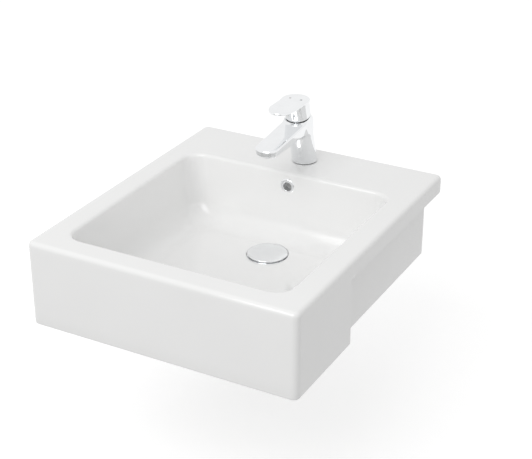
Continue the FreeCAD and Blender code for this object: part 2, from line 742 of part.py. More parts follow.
# ---------------------------------------------------------------------------
# Waste, heights from the top of its flange
# ---------------------------------------------------------------------------
def waste_body():
    """Flange and threaded tail in one, with slots for the overflow water."""
    body = turned("waste_body", [
        ("tail_bore", "-tail_length"),
        ("tail_radius", "-tail_length"),
        ("tail_radius", "backnut_foot - groove_height"),
        ("tail_radius - groove_depth", "backnut_foot - groove_height"),
        ("tail_radius - groove_depth", "backnut_foot"),
        ("tail_radius", "backnut_foot"),
        ("tail_radius", "gasket_top"),
        ("flange_radius", "gasket_top"),
        ("flange_radius", "0"),
        ("cap_seal_radius - cap_seal_wall", "0"),
        ("tail_radius", "-flange_thickness / 2"),
        ("tail_bore", "-flange_dish"),
    ])
    for plane in ("XZ", "YZ"):
        slot = draw_polygon(new_sketch(body, plane), [
            ("-slot_height / 2", "slot_foot"),
            ("slot_height / 2", "slot_foot"),
            ("slot_height / 2", "slot_foot + slot_height"),
            ("-slot_height / 2", "slot_foot + slot_height"),
        ])
        pocket(body, slot, "3 * tail_radius", symmetric=True)
    return put_in_waste(body)


def waste_seals_and_nut():
    """What clamps the waste to the drain boss, from the bowl down."""
    washer = "backnut_radius + washer_overhang"
    stack = [
        ("waste_flange_gasket", "flange_radius - gasket_inset", "gasket_bottom",
         "gasket_top"),
        ("waste_boss_seal", washer, "seal_foot", "boss_foot"),
        ("waste_slip_washer", washer, "washer_foot", "seal_foot"),
    ]
    pieces = [put_in_waste(ring(name, "tail_radius", outer, foot, top))
              for name, outer, foot, top in stack]
    nut = ring("waste_backnut", "tail_radius", "backnut_radius", "backnut_foot",
               "washer_foot")
    for plane in ("XZ", "YZ"):
        # Notches for the spanner, cut through the rim of the nut.
        notch = draw_polygon(new_sketch(nut, plane), [
            ("backnut_radius - notch_depth", f"backnut_foot - {PAST}"),
            ("backnut_radius + notch_depth", f"backnut_foot - {PAST}"),
            ("backnut_radius + notch_depth", "washer_foot - notch_depth"),
            ("backnut_radius - notch_depth", "washer_foot - notch_depth"),
        ])
        pocket(nut, notch, "backnut_height", symmetric=True)
    return pieces + [put_in_waste(nut)]


def plunger_guide():
    """Guide cup on four spokes, held in a rim inside the waste tail."""
    outer = "guide_bore + guide_wall"
    rim = ring("guide_rim", "tail_bore - guide_wall", "tail_bore",
               "-spider_top - spider_height", "-spider_top")
    cup = turned("guide_cup", [
        ("0", "-guide_depth"),
        (outer, "-guide_depth"),
        (outer, "-spider_top + spider_height"),
        ("guide_bore", "-spider_top + spider_height"),
        ("guide_bore", "spring_foot"),
        ("0", "spring_foot"),
    ])
    reach = "tail_bore - guide_wall / 2"
    inner = f"({outer} - guide_wall / 2)"
    low = "-spider_top - spider_height"
    spokes = [
        block("spoke_right", (inner, "-spoke_width / 2", low),
              (reach, "spoke_width / 2", "-spider_top")),
        block("spoke_left", (f"-({reach})", "-spoke_width / 2", low),
              (f"-{inner}", "spoke_width / 2", "-spider_top")),
        block("spoke_back", ("-spoke_width / 2", inner, low),
              ("spoke_width / 2", reach, "-spider_top")),
        block("spoke_front", ("-spoke_width / 2", f"-({reach})", low),
              ("spoke_width / 2", f"-{inner}", "-spider_top")),
    ]
    return put_in_waste(joined("plunger_guide", rim, cup, *spokes))


def plunger_spring():
    """Coil spring under the plunger, one round wire on a helix."""
    wire = value("spring_wire") / 2
    height = value("spring_height") - 2 * value("plunger_fit") - 2 * wire
    radius = value("spring_radius")
    path = Part.makeHelix(height / value("spring_turns"), height, radius)
    section = Part.Wire(Part.makeCircle(wire, Vector(radius, 0, 0), Vector(0, 1, 0)))
    spring = doc.addObject("Part::Feature", "plunger_spring")
    spring.Label = "plunger_spring"
    spring.Shape = Part.Wire(path).makePipeShell([section], True, True)
    foot = "floor + spring_foot + plunger_fit + spring_wire / 2"
    return put(spring, 0, "drain_y", foot)


def waste_plug():
    """Chrome cap, its rubber seal and the plunger that carries them."""
    # Halfway out, a parabola has risen by three quarters of its height.
    cap = turned("waste_cap", [
        ("plunger_radius", "cap_ceiling - cap_skin"),
        ("plunger_radius + cap_skin", "cap_ceiling - cap_skin"),
        ("plunger_radius + cap_skin", "cap_ceiling"),
        ("cap_radius - cap_skin", "cap_ceiling"),
        ("cap_radius - cap_skin", "cap_foot"),
        ("cap_radius - cap_skin / 4", "cap_foot"),
        ("cap_radius", "cap_foot + cap_skin / 4"),
        ("cap_radius", "cap_top - cap_skin / 2"),
        ("cap_radius - cap_skin / 4", "cap_top"),
        ("cap_radius / 2", "cap_top + cap_dome * 3 / 4"),
        ("0", "cap_top + cap_dome"),
        ("0", "cap_ceiling"),
        ("plunger_radius", "cap_ceiling"),
    ])
    seal = ring("waste_cap_seal", "cap_seal_radius - cap_seal_wall", "cap_seal_radius",
                "cap_foot", "cap_ceiling")
    plunger = rod("plunger_stem", "plunger_radius", "plunger_foot", "cap_ceiling")
    return [put_in_waste(piece) for piece in (cap, seal, plunger)]


# ---------------------------------------------------------------------------
# Tap body and what clamps it to the deck
# ---------------------------------------------------------------------------
def spout_form():
    """The spout: its side outline shared with its plan outline."""
    side = new_body("spout_side")
    outline = draw_polygon(new_sketch(side, "YZ"), [
        ("tap_y + tap_radius", "outlet_z"),
        ("tap_y + tap_radius", "spout_top + spout_fall * 3 * tap_radius"),
        ("spout_end", "spout_top - spout_fall * (spout_root - spout_end)"),
        ("spout_end", "outlet_z"),
    ])
    pad(side, outline, "3 * spout_half_width", symmetric=True)
    plan = new_body("spout_plan")
    outline = draw_tongue(new_sketch(plan, "XY", "rim_height"), "spout_half_width",
                          "outlet_y - spout_tip + spout_nose", "tap_y - tap_radius",
                          "spout_nose")
    pad(plan, outline, "2 * spout_top")
    form = shared("spout_sharp", side, plan)
    doc.recompute()
    soft = doc.addObject("Part::Fillet", "spout")
    soft.Base = form
    radius = value("spout_edge")
    soft.Edges = [(number, radius, radius)
                  for number, edge in enumerate(form.Shape.Edges, start=1)
                  if edge.BoundBox.YLength > EXACT]
    return soft


def tap_body():
    """Leaning body with the spout, the cartridge bore and the water ways."""
    reach = "2 * tap_length"
    tube = put_in_head(rod("tap_tube", "tap_radius", f"-{reach}", "body_top"))
    above = block("above_deck", ("-basin_width", "front", "tap_foot"),
                  ("basin_width", "2 * basin_depth", "tap_foot + basin_depth"))
    solid = joined("tap_solid", shared("tap_barrel", tube, above), spout_form())
    bore = put_in_head(rod("cartridge_bore", "bore_radius", "seat", "basin_width"))
    channel = drum("spout_channel", "spout_bore", "head_y - outlet_y", y="head_y",
                   z="channel_z", axis=(1, 0, 0), angle=90)
    outlet = drum("outlet_bore", "aerator_radius",
                  "aerator_height + aerator_seal_height", y="outlet_y",
                  z="aerator_foot")
    stud = drum("stud_bore", "stud_radius", f"stud_engagement + {PAST}", y="stud_y",
                z=f"tap_foot - {PAST}")
    ways = []
    for name, x in (("hot", "-inlet_offset"), ("cold", "inlet_offset")):
        ways.append(drum(name + "_socket", "inlet_radius", f"inlet_depth + {PAST}",
                         x=x, y="inlet_y", z=f"tap_foot - {PAST}"))
        way = new_body(name + "_way")
        sketch = draw_circle(new_sketch(way, "XY", f"seat + {PAST}"), x,
                             "port_setback", "passage_radius")
        feature = pad(way, sketch, "tap_length - seat_drop - inlet_depth + passage_lap")
        feature.Reversed = True
        ways.append(put_in_head(way))
    return minus("tap_body", solid, bore, channel, outlet, stud, *ways)


def tap_base_seal():
    """Flat rubber seal between the tap and the deck, open round the sockets."""
    body = new_body("tap_base_seal")
    ring_sketch = new_sketch(body, "XY", "rim_height")
    draw_circle(ring_sketch, 0, "tap_y", "tap_radius - base_seal_inset")
    draw_circle(ring_sketch, 0, "tap_y", "tap_hole_radius")
    pad(body, ring_sketch, "base_seal")
    return body


def horseshoe(label, top, thickness):
    """Horseshoe plate under the deck: open to the front for the hoses."""
    disc = drum(label + "_disc", "horseshoe_radius", thickness, y="tap_y",
                z=f"{top} - {thickness}")
    mouth = block(label + "_mouth",
                  ("-horseshoe_slot", "tap_y - 2 * horseshoe_radius", "-body_depth"),
                  ("horseshoe_slot", "stud_y - stud_radius - horseshoe_land",
                   "rim_height"))
    hole = drum(label + "_hole", "stud_radius + stud_clearance", "2 * body_depth",
                y="stud_y", z="-body_depth")
    return minus(label, disc, mouth, hole)


def tap_fixing():
    """Stud, horseshoe gasket, horseshoe washer and nut."""
    stud = drum("mounting_stud", "stud_radius", "stud_length", y="stud_y",
                z="tap_foot + stud_engagement - stud_length")
    gasket = horseshoe("horseshoe_gasket", "hollow_top", "horseshoe_rubber")
    washer = horseshoe("horseshoe_washer", "(hollow_top - horseshoe_rubber)",
                       "horseshoe_steel")
    nut = new_body("stud_nut")
    top = "hollow_top - horseshoe_rubber - horseshoe_steel"
    sketch = new_sketch(nut, "XY", f"{top} - stud_nut_height")
    corner = "stud_nut_radius * cos(30)"
    draw_polygon(sketch, [
        ("stud_nut_radius", "stud_y"),
        ("stud_nut_radius / 2", f"stud_y + {corner}"),
        ("-stud_nut_radius / 2", f"stud_y + {corner}"),
        ("-stud_nut_radius", "stud_y"),
        ("-stud_nut_radius / 2", f"stud_y - {corner}"),
        ("stud_nut_radius / 2", f"stud_y - {corner}"),
    ])
    draw_circle(sketch, 0, "stud_y", "stud_radius")
    pad(nut, sketch, "stud_nut_height")
    return [stud, gasket, washer, nut]


def aerator():
    """Aerator housing, its jet insert and the seal above them."""
    inner = "aerator_radius - aerator_wall"
    housing = ring("aerator_housing", inner, "aerator_radius", 0, "aerator_height")
    seal = ring("aerator_seal", f"{inner} - aerator_lip", "aerator_radius",
                "aerator_height", "aerator_height + aerator_seal_height")
    insert = rod("aerator_insert", inner, "aerator_lip", "aerator_height")
    jets = new_sketch(insert, "XY", f"aerator_height + {PAST}")
    for column in (-1, 0, 1):
        for row in (-1, 0, 1):
            draw_circle(jets, f"{column} * aerator_pitch", f"{row} * aerator_pitch",
                        "aerator_hole")
    pocket(insert, jets, "2 * aerator_height")
    return [put(piece, 0, "outlet_y", "aerator_foot")
            for piece in (housing, insert, seal)]


# ---------------------------------------------------------------------------
# Cartridge, heights from the handle skirt's edge along the leaning axis
# ---------------------------------------------------------------------------
def with_ports(body, top, radius):
    """Two round water ports, right through a piece of the cartridge."""
    sketch = new_sketch(body, "XY", f"{top} + {PAST}")
    for x in ("-inlet_offset", "inlet_offset"):
        draw_circle(sketch, x, "port_setback", radius)
    pocket(body, sketch, "seat_drop")
    return body


def cartridge_shell_parts():
    """Base plate, shell, port seals and O-ring: the parts that stay still."""
    base = with_ports(rod("cartridge_base", "cartridge_radius", "cartridge_foot",
                          "shell_foot"), "shell_foot", "passage_radius")
    shell = turned("cartridge_shell", [
        ("shell_bore", "shell_foot"),
        ("cartridge_radius", "shell_foot"),
        ("cartridge_radius", "shell_foot + shell_wall"),
        ("shell_radius", "shell_foot + shell_wall"),
        ("shell_radius", "oring_land"),
        ("cartridge_radius", "oring_land"),
        ("cartridge_radius", "oring_z - oring_wire"),
        ("bore_radius - 2 * oring_wire", "oring_z - oring_wire"),
        ("bore_radius - 2 * oring_wire", "oring_z + oring_wire"),
        ("cartridge_radius", "oring_z + oring_wire"),
        ("cartridge_radius", "shoulder_z"),
        ("neck_radius", "shoulder_z"),
        ("neck_radius", "-neck_drop"),
        ("rotor_radius + rotor_fit", "-neck_drop"),
        ("rotor_radius + rotor_fit", "shell_shoulder"),
        ("shell_bore", "shell_shoulder"),
    ])
    for plane in ("XZ", "YZ"):
        # Windows that let the mixed water out towards the spout.
        window = draw_polygon(new_sketch(shell, plane), [
            ("-window_half", "carrier_foot - disc_height / 2"),
            ("window_half", "carrier_foot - disc_height / 2"),
            ("window_half", "carrier_top"),
            ("-window_half", "carrier_top"),
        ])
        pocket(shell, window, "3 * bore_radius", symmetric=True)
    seals = new_body("cartridge_port_seals")
    sketch = new_sketch(seals, "XY", "seat")
    for x in ("-inlet_offset", "inlet_offset"):
        draw_circle(sketch, x, "port_setback", "passage_radius")
        draw_circle(sketch, x, "port_setback", "passage_radius + port_seal_wall")
    pad(seals, sketch, "port_seal")
    seals.AllowCompound = True
    oring = doc.addObject("Part::Torus", "cartridge_o_ring")
    bind(oring, Radius1="bore_radius - oring_wire", Radius2="oring_wire")
    lean = put_in_head(oring)
    lean.setExpression("Placement.Base.y", bound("head_y - oring_z * sin(tap_lean)"))
    lean.setExpression("Placement.Base.z", bound("head_z + oring_z * cos(tap_lean)"))
    nut = ring("cartridge_nut", "neck_radius + stem_play", "bore_radius", "shoulder_z",
               "nut_top")
    return [put_in_head(piece) for piece in (base, shell, seals, nut)] + [oring]


def ceramic_discs():
    """Fixed disc with the two inlet ports, moving disc with its mixing hollow."""
    fixed = with_ports(rod("fixed_disc", "disc_radius", "shell_foot",
                           "fixed_disc_top"), "fixed_disc_top", "passage_radius")
    moving = new_body("moving_disc")
    outline = draw_circle(new_sketch(moving, "XY", "moving_disc_foot"), 0, "disc_y",
                          "moving_disc_radius")
    pad(moving, outline, "disc_height")
    hollow = draw_circle(new_sketch(moving, "XY", "moving_disc_foot"), 0, "disc_y",
                         "mixing_radius")
    pocket(moving, hollow, "disc_height / 2", up=True)
    carrier = new_body("disc_carrier")
    outline = draw_circle(new_sketch(carrier, "XY", "carrier_foot"), 0, "disc_y",
                          "moving_disc_radius")
    pad(carrier, outline, "carrier_top - carrier_foot")
    socket = draw_circle(new_sketch(carrier, "XY", "carrier_top"), 0, 0,
                         "ball_radius + ball_play")
    pocket(carrier, socket, "carrier_top - ball_z + ball_radius + ball_play")
    return [put_in_head(piece) for piece in (fixed, moving, carrier)]


def rotor_and_pin():
    """Rotor that turns in the cartridge neck, with the lever's pivot pin."""
    rotor = turned("cartridge_rotor", [
        ("0", "rotor_foot"),
        ("disc_radius - stem_play", "rotor_foot"),
        ("disc_radius - stem_play", "rotor_shoulder"),
        ("rotor_radius", "rotor_shoulder"),
        ("rotor_radius", "rotor_top"),
        ("0", "rotor_top"),
    ])
    side = "(stem_size / 2 + stem_play)"
    slot = draw_polygon(new_sketch(rotor, "XY", 0), [
        (f"-{side}", "-slot_front"),
        (side, "-slot_front"),
        (side, "slot_back"),
        (f"-{side}", "slot_back"),
    ])
    pocket(rotor, slot, "seat_drop")
    hole = draw_circle(new_sketch(rotor, "YZ"), 0, "pivot", "pin_radius")
    pocket(rotor, hole, "3 * rotor_radius", symmetric=True)
    pin = new_body("pivot_pin")
    outline = draw_circle(new_sketch(pin, "YZ"), 0, "pivot", "pin_radius")
    pad(pin, outline, "2 * (rotor_radius - pin_inset)", symmetric=True)
    return [put_in_head(rotor), put_in_head(pin)]


def cartridge_stem():
    """Square stem on the pivot pin, ending in the ball that moves the disc."""
    half = "stem_size / 2"
    shank = block("stem_shank", (f"-{half}", f"-{half}", f"pivot - {half}"),
                  (half, half, "stem_rise"))
    neck = drum("stem_shaft", "stem_neck", "stem_reach", z="ball_z")
    foot = ball("stem_ball", "ball_radius", z="ball_z")
    hole = drum("stem_hole", "pin_radius + pin_fit", "2 * stem_size",
                x="-stem_size", z="pivot", axis=(0, 1, 0), angle=90)
    return put_in_head(minus("cartridge_stem", joined("stem_solid", shank, neck, foot),
                             hole))


def dome_collar():
    """Dome that hides the cartridge, centred on the lever's pivot."""
    outer = ball("dome_outer", "dome_radius", z="pivot")
    inner = ball("dome_inner", "dome_radius - dome_wall", z="pivot")
    zone = ring("dome_zone", "dome_mouth", "2 * dome_radius", "body_top", "dome_radius")
    cap = shared("dome_cap", minus("dome_shell", outer, inner), zone)
    foot = ring("dome_foot", "bore_radius - collar_foot", "bore_radius",
                f"body_top - collar_foot + {EXACT}", "body_top + dome_wall / 2")
    return put_in_head(joined("dome_collar", cap, foot))


# ---------------------------------------------------------------------------
# Handle
# ---------------------------------------------------------------------------
def handle():
    """Lever plate over a hollow skirt, cut back behind so that it can tilt."""
    plate = new_body("lever_plate")
    outline = draw_tongue(new_sketch(plate, "XY", "plate_foot"), "handle_half_width",
                          "plate_front", "plate_y", "lever_nose")
    pad(plate, outline, "handle_plate")
    round_edges(plate, "handle_edge", lambda edge: is_level(edge, "plate_top"))

    under = block("under_plate", ("-basin_width", "front", "rim_height"),
                  ("basin_width", "2 * basin_depth", "plate_top - handle_edge"))
    ceiling = block("under_ceiling", ("-basin_width", "front", "rim_height"),
                    ("basin_width", "2 * basin_depth", "plate_foot"))
    tall = "plate_lift + tap_radius"
    flare = f"(handle_half_width - tap_radius) / plate_lift * ({tall})"
    skirt = turned("skirt_outer", [
        ("0", "0"), ("tap_radius", "0"),
        (f"tap_radius + {flare}", tall), ("0", tall)])
    core = turned("skirt_core", [
        ("0", f"-{PAST}"), ("skirt_bore", f"-{PAST}"),
        (f"skirt_bore + {flare}", tall), ("0", tall)])
    post = rod("socket_post", "socket_radius", "socket_rise", tall)
    relief = new_body("skirt_relief")
    wedge = draw_polygon(new_sketch(relief, "YZ"), [
        ("relief_start", f"-{PAST}"),
        ("relief_end", f"-{PAST}"),
        ("relief_end", "relief_height"),
        ("relief_start", "0"),
    ])
    pad(relief, wedge, "4 * tap_radius", symmetric=True)
    half = "(stem_size / 2 + socket_play)"
    socket = new_body("stem_socket")
    square = draw_polygon(new_sketch(socket, "XY", f"socket_rise - {PAST}"), [
        (f"-{half}", f"-{half}"), (half, f"-{half}"), (half, half), (f"-{half}", half)])
    pad(socket, square, f"stem_rise - socket_rise + {PAST} + socket_play")
    screw = new_body("grub_bore")
    circle = draw_circle(new_sketch(screw, "XZ", "-stem_size / 2"), 0, "grub_rise",
                         "grub_radius")
    pad(screw, circle, "2 * tap_radius").Reversed = True
    for piece in (skirt, core, post, relief, socket, screw):
        put_in_head(piece)

    shell = minus("skirt", shared("skirt_full", skirt, under),
                  shared("skirt_hollow", core, ceiling), relief)
    boss = shared("socket_boss", post, under)
    marks = [drum(f"mark_bore_{name}", "mark_radius", "2 * mark_depth", x=x,
                  y="plate_y", z="plate_top - mark_depth")
             for name, x in (("hot", "-mark_offset"), ("cold", "mark_offset"))]
    return minus("handle", joined("handle_solid", shell, plate, boss), socket, screw,
                 *marks)


def handle_trim():
    """Grub screw and the two temperature marks."""
    screw = new_body("handle_grub_screw")
    circle = draw_circle(new_sketch(screw, "XZ", "-stem_size / 2"), 0, "grub_rise",
                         "grub_radius")
    pad(screw, circle, "grub_length").Reversed = True
    put_in_head(screw)
    marks = [drum(f"{name}_mark", "mark_radius", "mark_depth", x=x, y="plate_y",
                  z="plate_top - mark_depth")
             for name, x in (("hot", "-mark_offset"), ("cold", "mark_offset"))]
    return [screw] + marks


# ---------------------------------------------------------------------------
# Build, check and write
# ---------------------------------------------------------------------------
def check(pieces):
    """Stop if any object failed, or any piece is not one or more whole solids."""
    for thing in doc.Objects:
        if "Invalid" in thing.State or "Error" in thing.State:
            raise RuntimeError(f"{thing.Label} failed: {thing.State}")
    for piece in pieces:
        shape = piece.Shape
        if shape.isNull() or not shape.isValid() or not shape.Solids:
            raise RuntimeError(f"{piece.Label} has no valid solid")


def main():
    fill_sheet()
    pieces = [finish_basin(basin_body()), overflow_ring(), waste_body()]
    pieces += waste_seals_and_nut()
    pieces += [plunger_guide(), plunger_spring()]
    pieces += waste_plug()
    pieces += [tap_body(), tap_base_seal()]
    pieces += tap_fixing()
    pieces += aerator()
    pieces += cartridge_shell_parts()
    pieces += ceramic_discs()
    pieces += rotor_and_pin()
    pieces += [cartridge_stem(), dome_collar(), handle()]
    pieces += handle_trim()
    doc.recompute()
    check(pieces)
    os.makedirs("parts", exist_ok=True)
    for piece in pieces:
        piece.Shape.exportStep(f"parts/{piece.Label}.step")
        box = piece.Shape.BoundBox
        print(f"{piece.Label}: {len(piece.Shape.Solids)} solid,"
              f" {piece.Shape.Volume / 1000:.2f} cm3,"
              f" X {box.XMin:.1f}..{box.XMax:.1f}"
              f" Y {box.YMin:.1f}..{box.YMax:.1f} Z {box.ZMin:.1f}..{box.ZMax:.1f}")


if __name__ == "__main__":
    main()
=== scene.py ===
import json
import math

import bpy
import numpy as np
from bpy.props import FloatProperty, FloatVectorProperty, PointerProperty
from bpy.types import Operator, Panel, PropertyGroup
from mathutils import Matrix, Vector


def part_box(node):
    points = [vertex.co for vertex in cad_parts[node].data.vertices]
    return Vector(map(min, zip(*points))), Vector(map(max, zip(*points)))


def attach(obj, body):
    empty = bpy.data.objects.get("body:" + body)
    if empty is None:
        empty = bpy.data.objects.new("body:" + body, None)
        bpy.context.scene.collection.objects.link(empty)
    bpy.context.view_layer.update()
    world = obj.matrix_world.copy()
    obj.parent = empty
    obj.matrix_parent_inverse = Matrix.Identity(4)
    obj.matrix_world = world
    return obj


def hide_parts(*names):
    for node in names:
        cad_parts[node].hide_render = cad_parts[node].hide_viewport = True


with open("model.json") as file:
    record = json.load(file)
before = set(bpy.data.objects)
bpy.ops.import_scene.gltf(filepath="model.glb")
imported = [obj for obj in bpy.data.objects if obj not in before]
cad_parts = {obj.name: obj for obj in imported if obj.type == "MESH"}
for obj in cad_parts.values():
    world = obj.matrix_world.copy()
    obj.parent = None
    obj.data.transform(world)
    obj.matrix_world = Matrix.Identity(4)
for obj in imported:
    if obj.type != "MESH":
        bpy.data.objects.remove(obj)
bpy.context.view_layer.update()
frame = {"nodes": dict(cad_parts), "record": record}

bl_info = {
    "name": "Semi Recessed Basin",
    "version": (1, 0, 0),
    "blender": (4, 5, 0),
    "location": "3D View > Sidebar > Basin",
    "description": "Dresses a glazed semi recessed basin with its tap and waste",
    "category": "Object",
}

MM = 0.001
PER_METRE = 1000.0

# Sizes of the casting in millimetres, as the solid has them. The blend starts where the
# leaning wall is tangent to it, and the floor falls from where the blend has ended. The
# bowl's outside stays clear of the narrow part of the hollow.
HALF_WIDTH, FRONT, BACK = 240.0, -542.0, 10.0
RIM, SEAT_LEVEL, APRON_FOOT = 31.0, 0.0, -117.0
CORNER, FOOT_EDGE = 11.0, 3.0
SHOULDER, SEAT = -359.0, 20.0
WALL, HOLLOW_TOP, HOLLOW_CORNER, HOLLOW_EDGE = 12.0, 17.0, 4.0, 0.8
BOWL_HALF, BOWL_FRONT, BOWL_BACK, BOWL_CORNER = 197.0, -498.0, -113.0, 30.0
LEAN, BLEND, BLEND_TOP, FLOOR, FALL = 7.16, 42.0, -52.7, -91.0, 4.1
BLEND_START = 0.16
BLEND_REACH = 46.0
OUTSIDE_LIMIT = 207.5
DRAIN_Y, DRAIN_RADIUS, RECESS_RADIUS, RECESS_FLOOR = -188.4, 22.8, 36.5, -100.0
RECESS_EDGE, RECESS_ROUND = 0.9, 1.4
BOSS_RADIUS, BOSS_FOOT, BOSS_EDGE, BOSS_DROP = 40.0, -125.0, 1.5, 3.0
TAP_Y, TAP_HOLE, TAP_HOLE_START, TAP_HOLE_LENGTH = -49.0, 17.5, 10.0, 30.0
OVERFLOW_Z, OVERFLOW_RADIUS, OVERFLOW_START = 5.5, 9.0, -126.0
OVERFLOW_WALL_CUT, OVERFLOW_DUCT_CUT = 28.0, 34.0
DUCT_HALF, DUCT_FRONT, DUCT_BACK, DUCT_EDGE = 19.0, -103.0, -84.0, 3.0
DUCT_FOOT, DUCT_TOP, DUCT_CHAMFER, DUCT_END = -113.0, 17.2, (1.0, 1.2), 0.94

# Samples around a ring of the casting, rings on the bowl's floor and under it, and the
# share of these that lies on the flat part.
ARC, SIDE_FRONT, SIDE_BACK, ACROSS = 12, 30, 50, 64
FLOOR_RINGS, UNDER_RINGS, FLAT_SHARE = 62, 26, 0.45

# The leaning axis of the tap: a point on it, its direction, and straight back from it.
HEAD = np.array([0.0, -77.43, 126.978])
AXIS = np.array([0.0, -0.284015, 0.958820])
BEHIND = np.array([0.0, 0.958820, 0.284015])
BODY_RADIUS, HANDLE_GAP, TAP_FOOT = 22.3, 1.5, 32.2


# ----------------------------------------
# Meshes
# ----------------------------------------
def piece(name, points, faces, material, body, slot, *nodes):
    """A mesh piece from millimetre points and faces, riding on a body in place of nodes."""
    mesh = bpy.data.meshes.new(name)
    mesh.from_pydata((points * MM).tolist(), [], faces.tolist())
    mesh.validate()
    mesh.update()
    thing = bpy.data.objects.new(name, mesh)
    bpy.context.scene.collection.objects.link(thing)
    mesh.materials.append(material)
    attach(thing, body)
    if nodes:
        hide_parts(*nodes)
    return thing


def grid_faces(rows, count, closed_rows):
    """Quads between the rings of a grid whose rings are closed loops."""
    row = np.arange(rows if closed_rows else rows - 1)[:, None]
    column = np.arange(count)[None, :]
    beside = (column + 1) % count
    above = (row + 1) % rows
    quads = np.stack([row * count + column, row * count + beside,
                      above * count + beside, above * count + column], axis=-1)
    return quads.reshape(-1, 4)


def outward(points, faces):
    """The faces of a closed quad mesh, turned so that its signed volume is positive."""
    a, b, c, d = (points[faces[:, i]] for i in range(4))
    volume = (np.einsum("ij,ij->i", a, np.cross(b, c))
              + np.einsum("ij,ij->i", a, np.cross(c, d))).sum()
    return faces if volume > 0 else faces[:, ::-1]


def select_only(*things):
    """Select these objects alone, the last one as the active one."""
    bpy.ops.object.select_all(action="DESELECT")
    for thing in things:
        thing.select_set(True)
        bpy.context.view_layer.objects.active = thing


def smooth_by_angle(thing, degrees):
    """Smooth shading, with creases where faces meet at more than the angle."""
    select_only(thing)
    bpy.ops.object.shade_smooth_by_angle(angle=math.radians(degrees), keep_sharp_edges=False)


def cut(thing, cutters):
    """Cut closed tools out of a piece, and keep the result as its mesh."""
    for tool in cutters:
        change = thing.modifiers.new("cut", "BOOLEAN")
        change.operation = "DIFFERENCE"
        change.solver = "EXACT"
        change.object = tool
    graph = bpy.context.evaluated_depsgraph_get()
    mesh = bpy.data.meshes.new_from_object(thing.evaluated_get(graph))
    if len(mesh.polygons) < 10:
        raise RuntimeError(f"{thing.name}: nothing left after its cuts")
    thing.modifiers.clear()
    thing.data = mesh
    for tool in cutters:
        bpy.data.objects.remove(tool)


def drum(center, direction, radius, length, count=96):
    """A closed drum used as a cutting tool: a circle carried straight along a direction."""
    direction = np.array(direction, float)
    side = np.cross(direction, [1.0, 0.0, 0.0])
    side = np.array([1.0, 0.0, 0.0]) if np.linalg.norm(side) < 0.1 else side
    side = side / np.linalg.norm(side)
    other = np.cross(direction, side)
    angle = np.linspace(0, 2 * np.pi, count, endpoint=False)
    rim = radius * (np.cos(angle)[:, None] * side + np.sin(angle)[:, None] * other)
    center = np.array(center, float)
    points = np.concatenate([rim + center, rim + center + direction * length])
    mesh = bpy.data.meshes.new("tool")
    around = np.arange(count)
    sides = np.stack([around, (around + 1) % count, count + (around + 1) % count,
                      count + around], axis=1).tolist()
    mesh.from_pydata((points * MM).tolist(), [],
                     sides + [around[::-1].tolist(), (count + around).tolist()])
    tool = bpy.data.objects.new("tool", mesh)
    bpy.context.scene.collection.objects.link(tool)
    return tool


def turned(name, profile, center, axis, material, body, slot, *nodes, count=128):
    """A profile of (radius, height) points turned once around an axis through center.

    The profile is a closed loop, or starts and ends at radius 0, where the
    repeated points are merged into one pole."""
    axis = np.array(axis, float)
    side = np.array([1.0, 0.0, 0.0])
    other = np.cross(axis, side)
    profile = np.array(profile, float)
    angle = np.linspace(0, 2 * np.pi, count, endpoint=False)
    circle = np.cos(angle)[:, None] * side + np.sin(angle)[:, None] * other
    points = (np.array(center, float) + profile[:, 0, None, None] * circle
              + profile[:, 1, None, None] * axis).reshape(-1, 3)
    closed = bool(profile[0, 0] > 0 and profile[-1, 0] > 0)
    faces = outward(points, grid_faces(len(profile), count, closed))
    thing = piece(name, points, faces, material, body, slot, *nodes)
    merge(thing)
    return thing


def merge(thing):
    """Merge points that coincide, and point the faces outwards."""
    select_only(thing)
    bpy.ops.object.mode_set(mode="EDIT")
    bpy.ops.mesh.select_all(action="SELECT")
    bpy.ops.mesh.remove_doubles(threshold=0.000002)
    bpy.ops.mesh.normals_make_consistent(inside=False)
    bpy.ops.object.mode_set(mode="OBJECT")


def soft_profile(corners, rounding, steps=6):
    """A closed profile with every corner rounded: each corner gives way to a curve
    of two blended straight runs (a quadratic arc) that starts and ends rounding away."""
    corners = np.array(corners, float)
    before = np.roll(corners, 1, axis=0) - corners
    after = np.roll(corners, -1, axis=0) - corners
    reach = np.minimum(rounding, 0.45 * np.minimum(np.linalg.norm(before, axis=1),
                                                   np.linalg.norm(after, axis=1)))
    start = corners + before / np.linalg.norm(before, axis=1)[:, None] * reach[:, None]
    end = corners + after / np.linalg.norm(after, axis=1)[:, None] * reach[:, None]
    t = np.linspace(0, 1, steps)[None, :, None]
    curve = ((1 - t) ** 2 * start[:, None] + 2 * t * (1 - t) * corners[:, None]
             + t ** 2 * end[:, None])
    return curve.reshape(-1, 2)


# ----------------------------------------
# Implicit forms: signed distances in millimetres, negative inside
# ----------------------------------------
def both(rounding, *distances):
    """Where all forms overlap, with the outer edges rounded: the length of the
    positive parts of distance plus rounding, less the rounding."""
    stack = np.stack(np.broadcast_arrays(*distances)) + rounding
    return (np.sqrt((np.maximum(stack, 0) ** 2).sum(0))
            + np.minimum(stack.max(0), 0) - rounding)


def together(rounding, one, other):
    """Two forms joined with a hollow fillet: the fillet radius less the length of
    what each distance lacks of it."""
    lack = np.sqrt(np.maximum(rounding - one, 0) ** 2 + np.maximum(rounding - other, 0) ** 2)
    return np.maximum(rounding, np.minimum(one, other)) - lack


def along(points):
    """Height along the tap's leaning axis above the skirt's edge."""
    return (points - HEAD) @ AXIS


def around(points):
    """Distance from the tap's leaning axis."""
    away = points - HEAD
    return np.sqrt(np.maximum((away ** 2).sum(-1) - (away @ AXIS) ** 2, 0))


def upright(points, x, y):
    """Distance from an upright line."""
    return np.hypot(points[..., 0] - x, points[..., 1] - y)


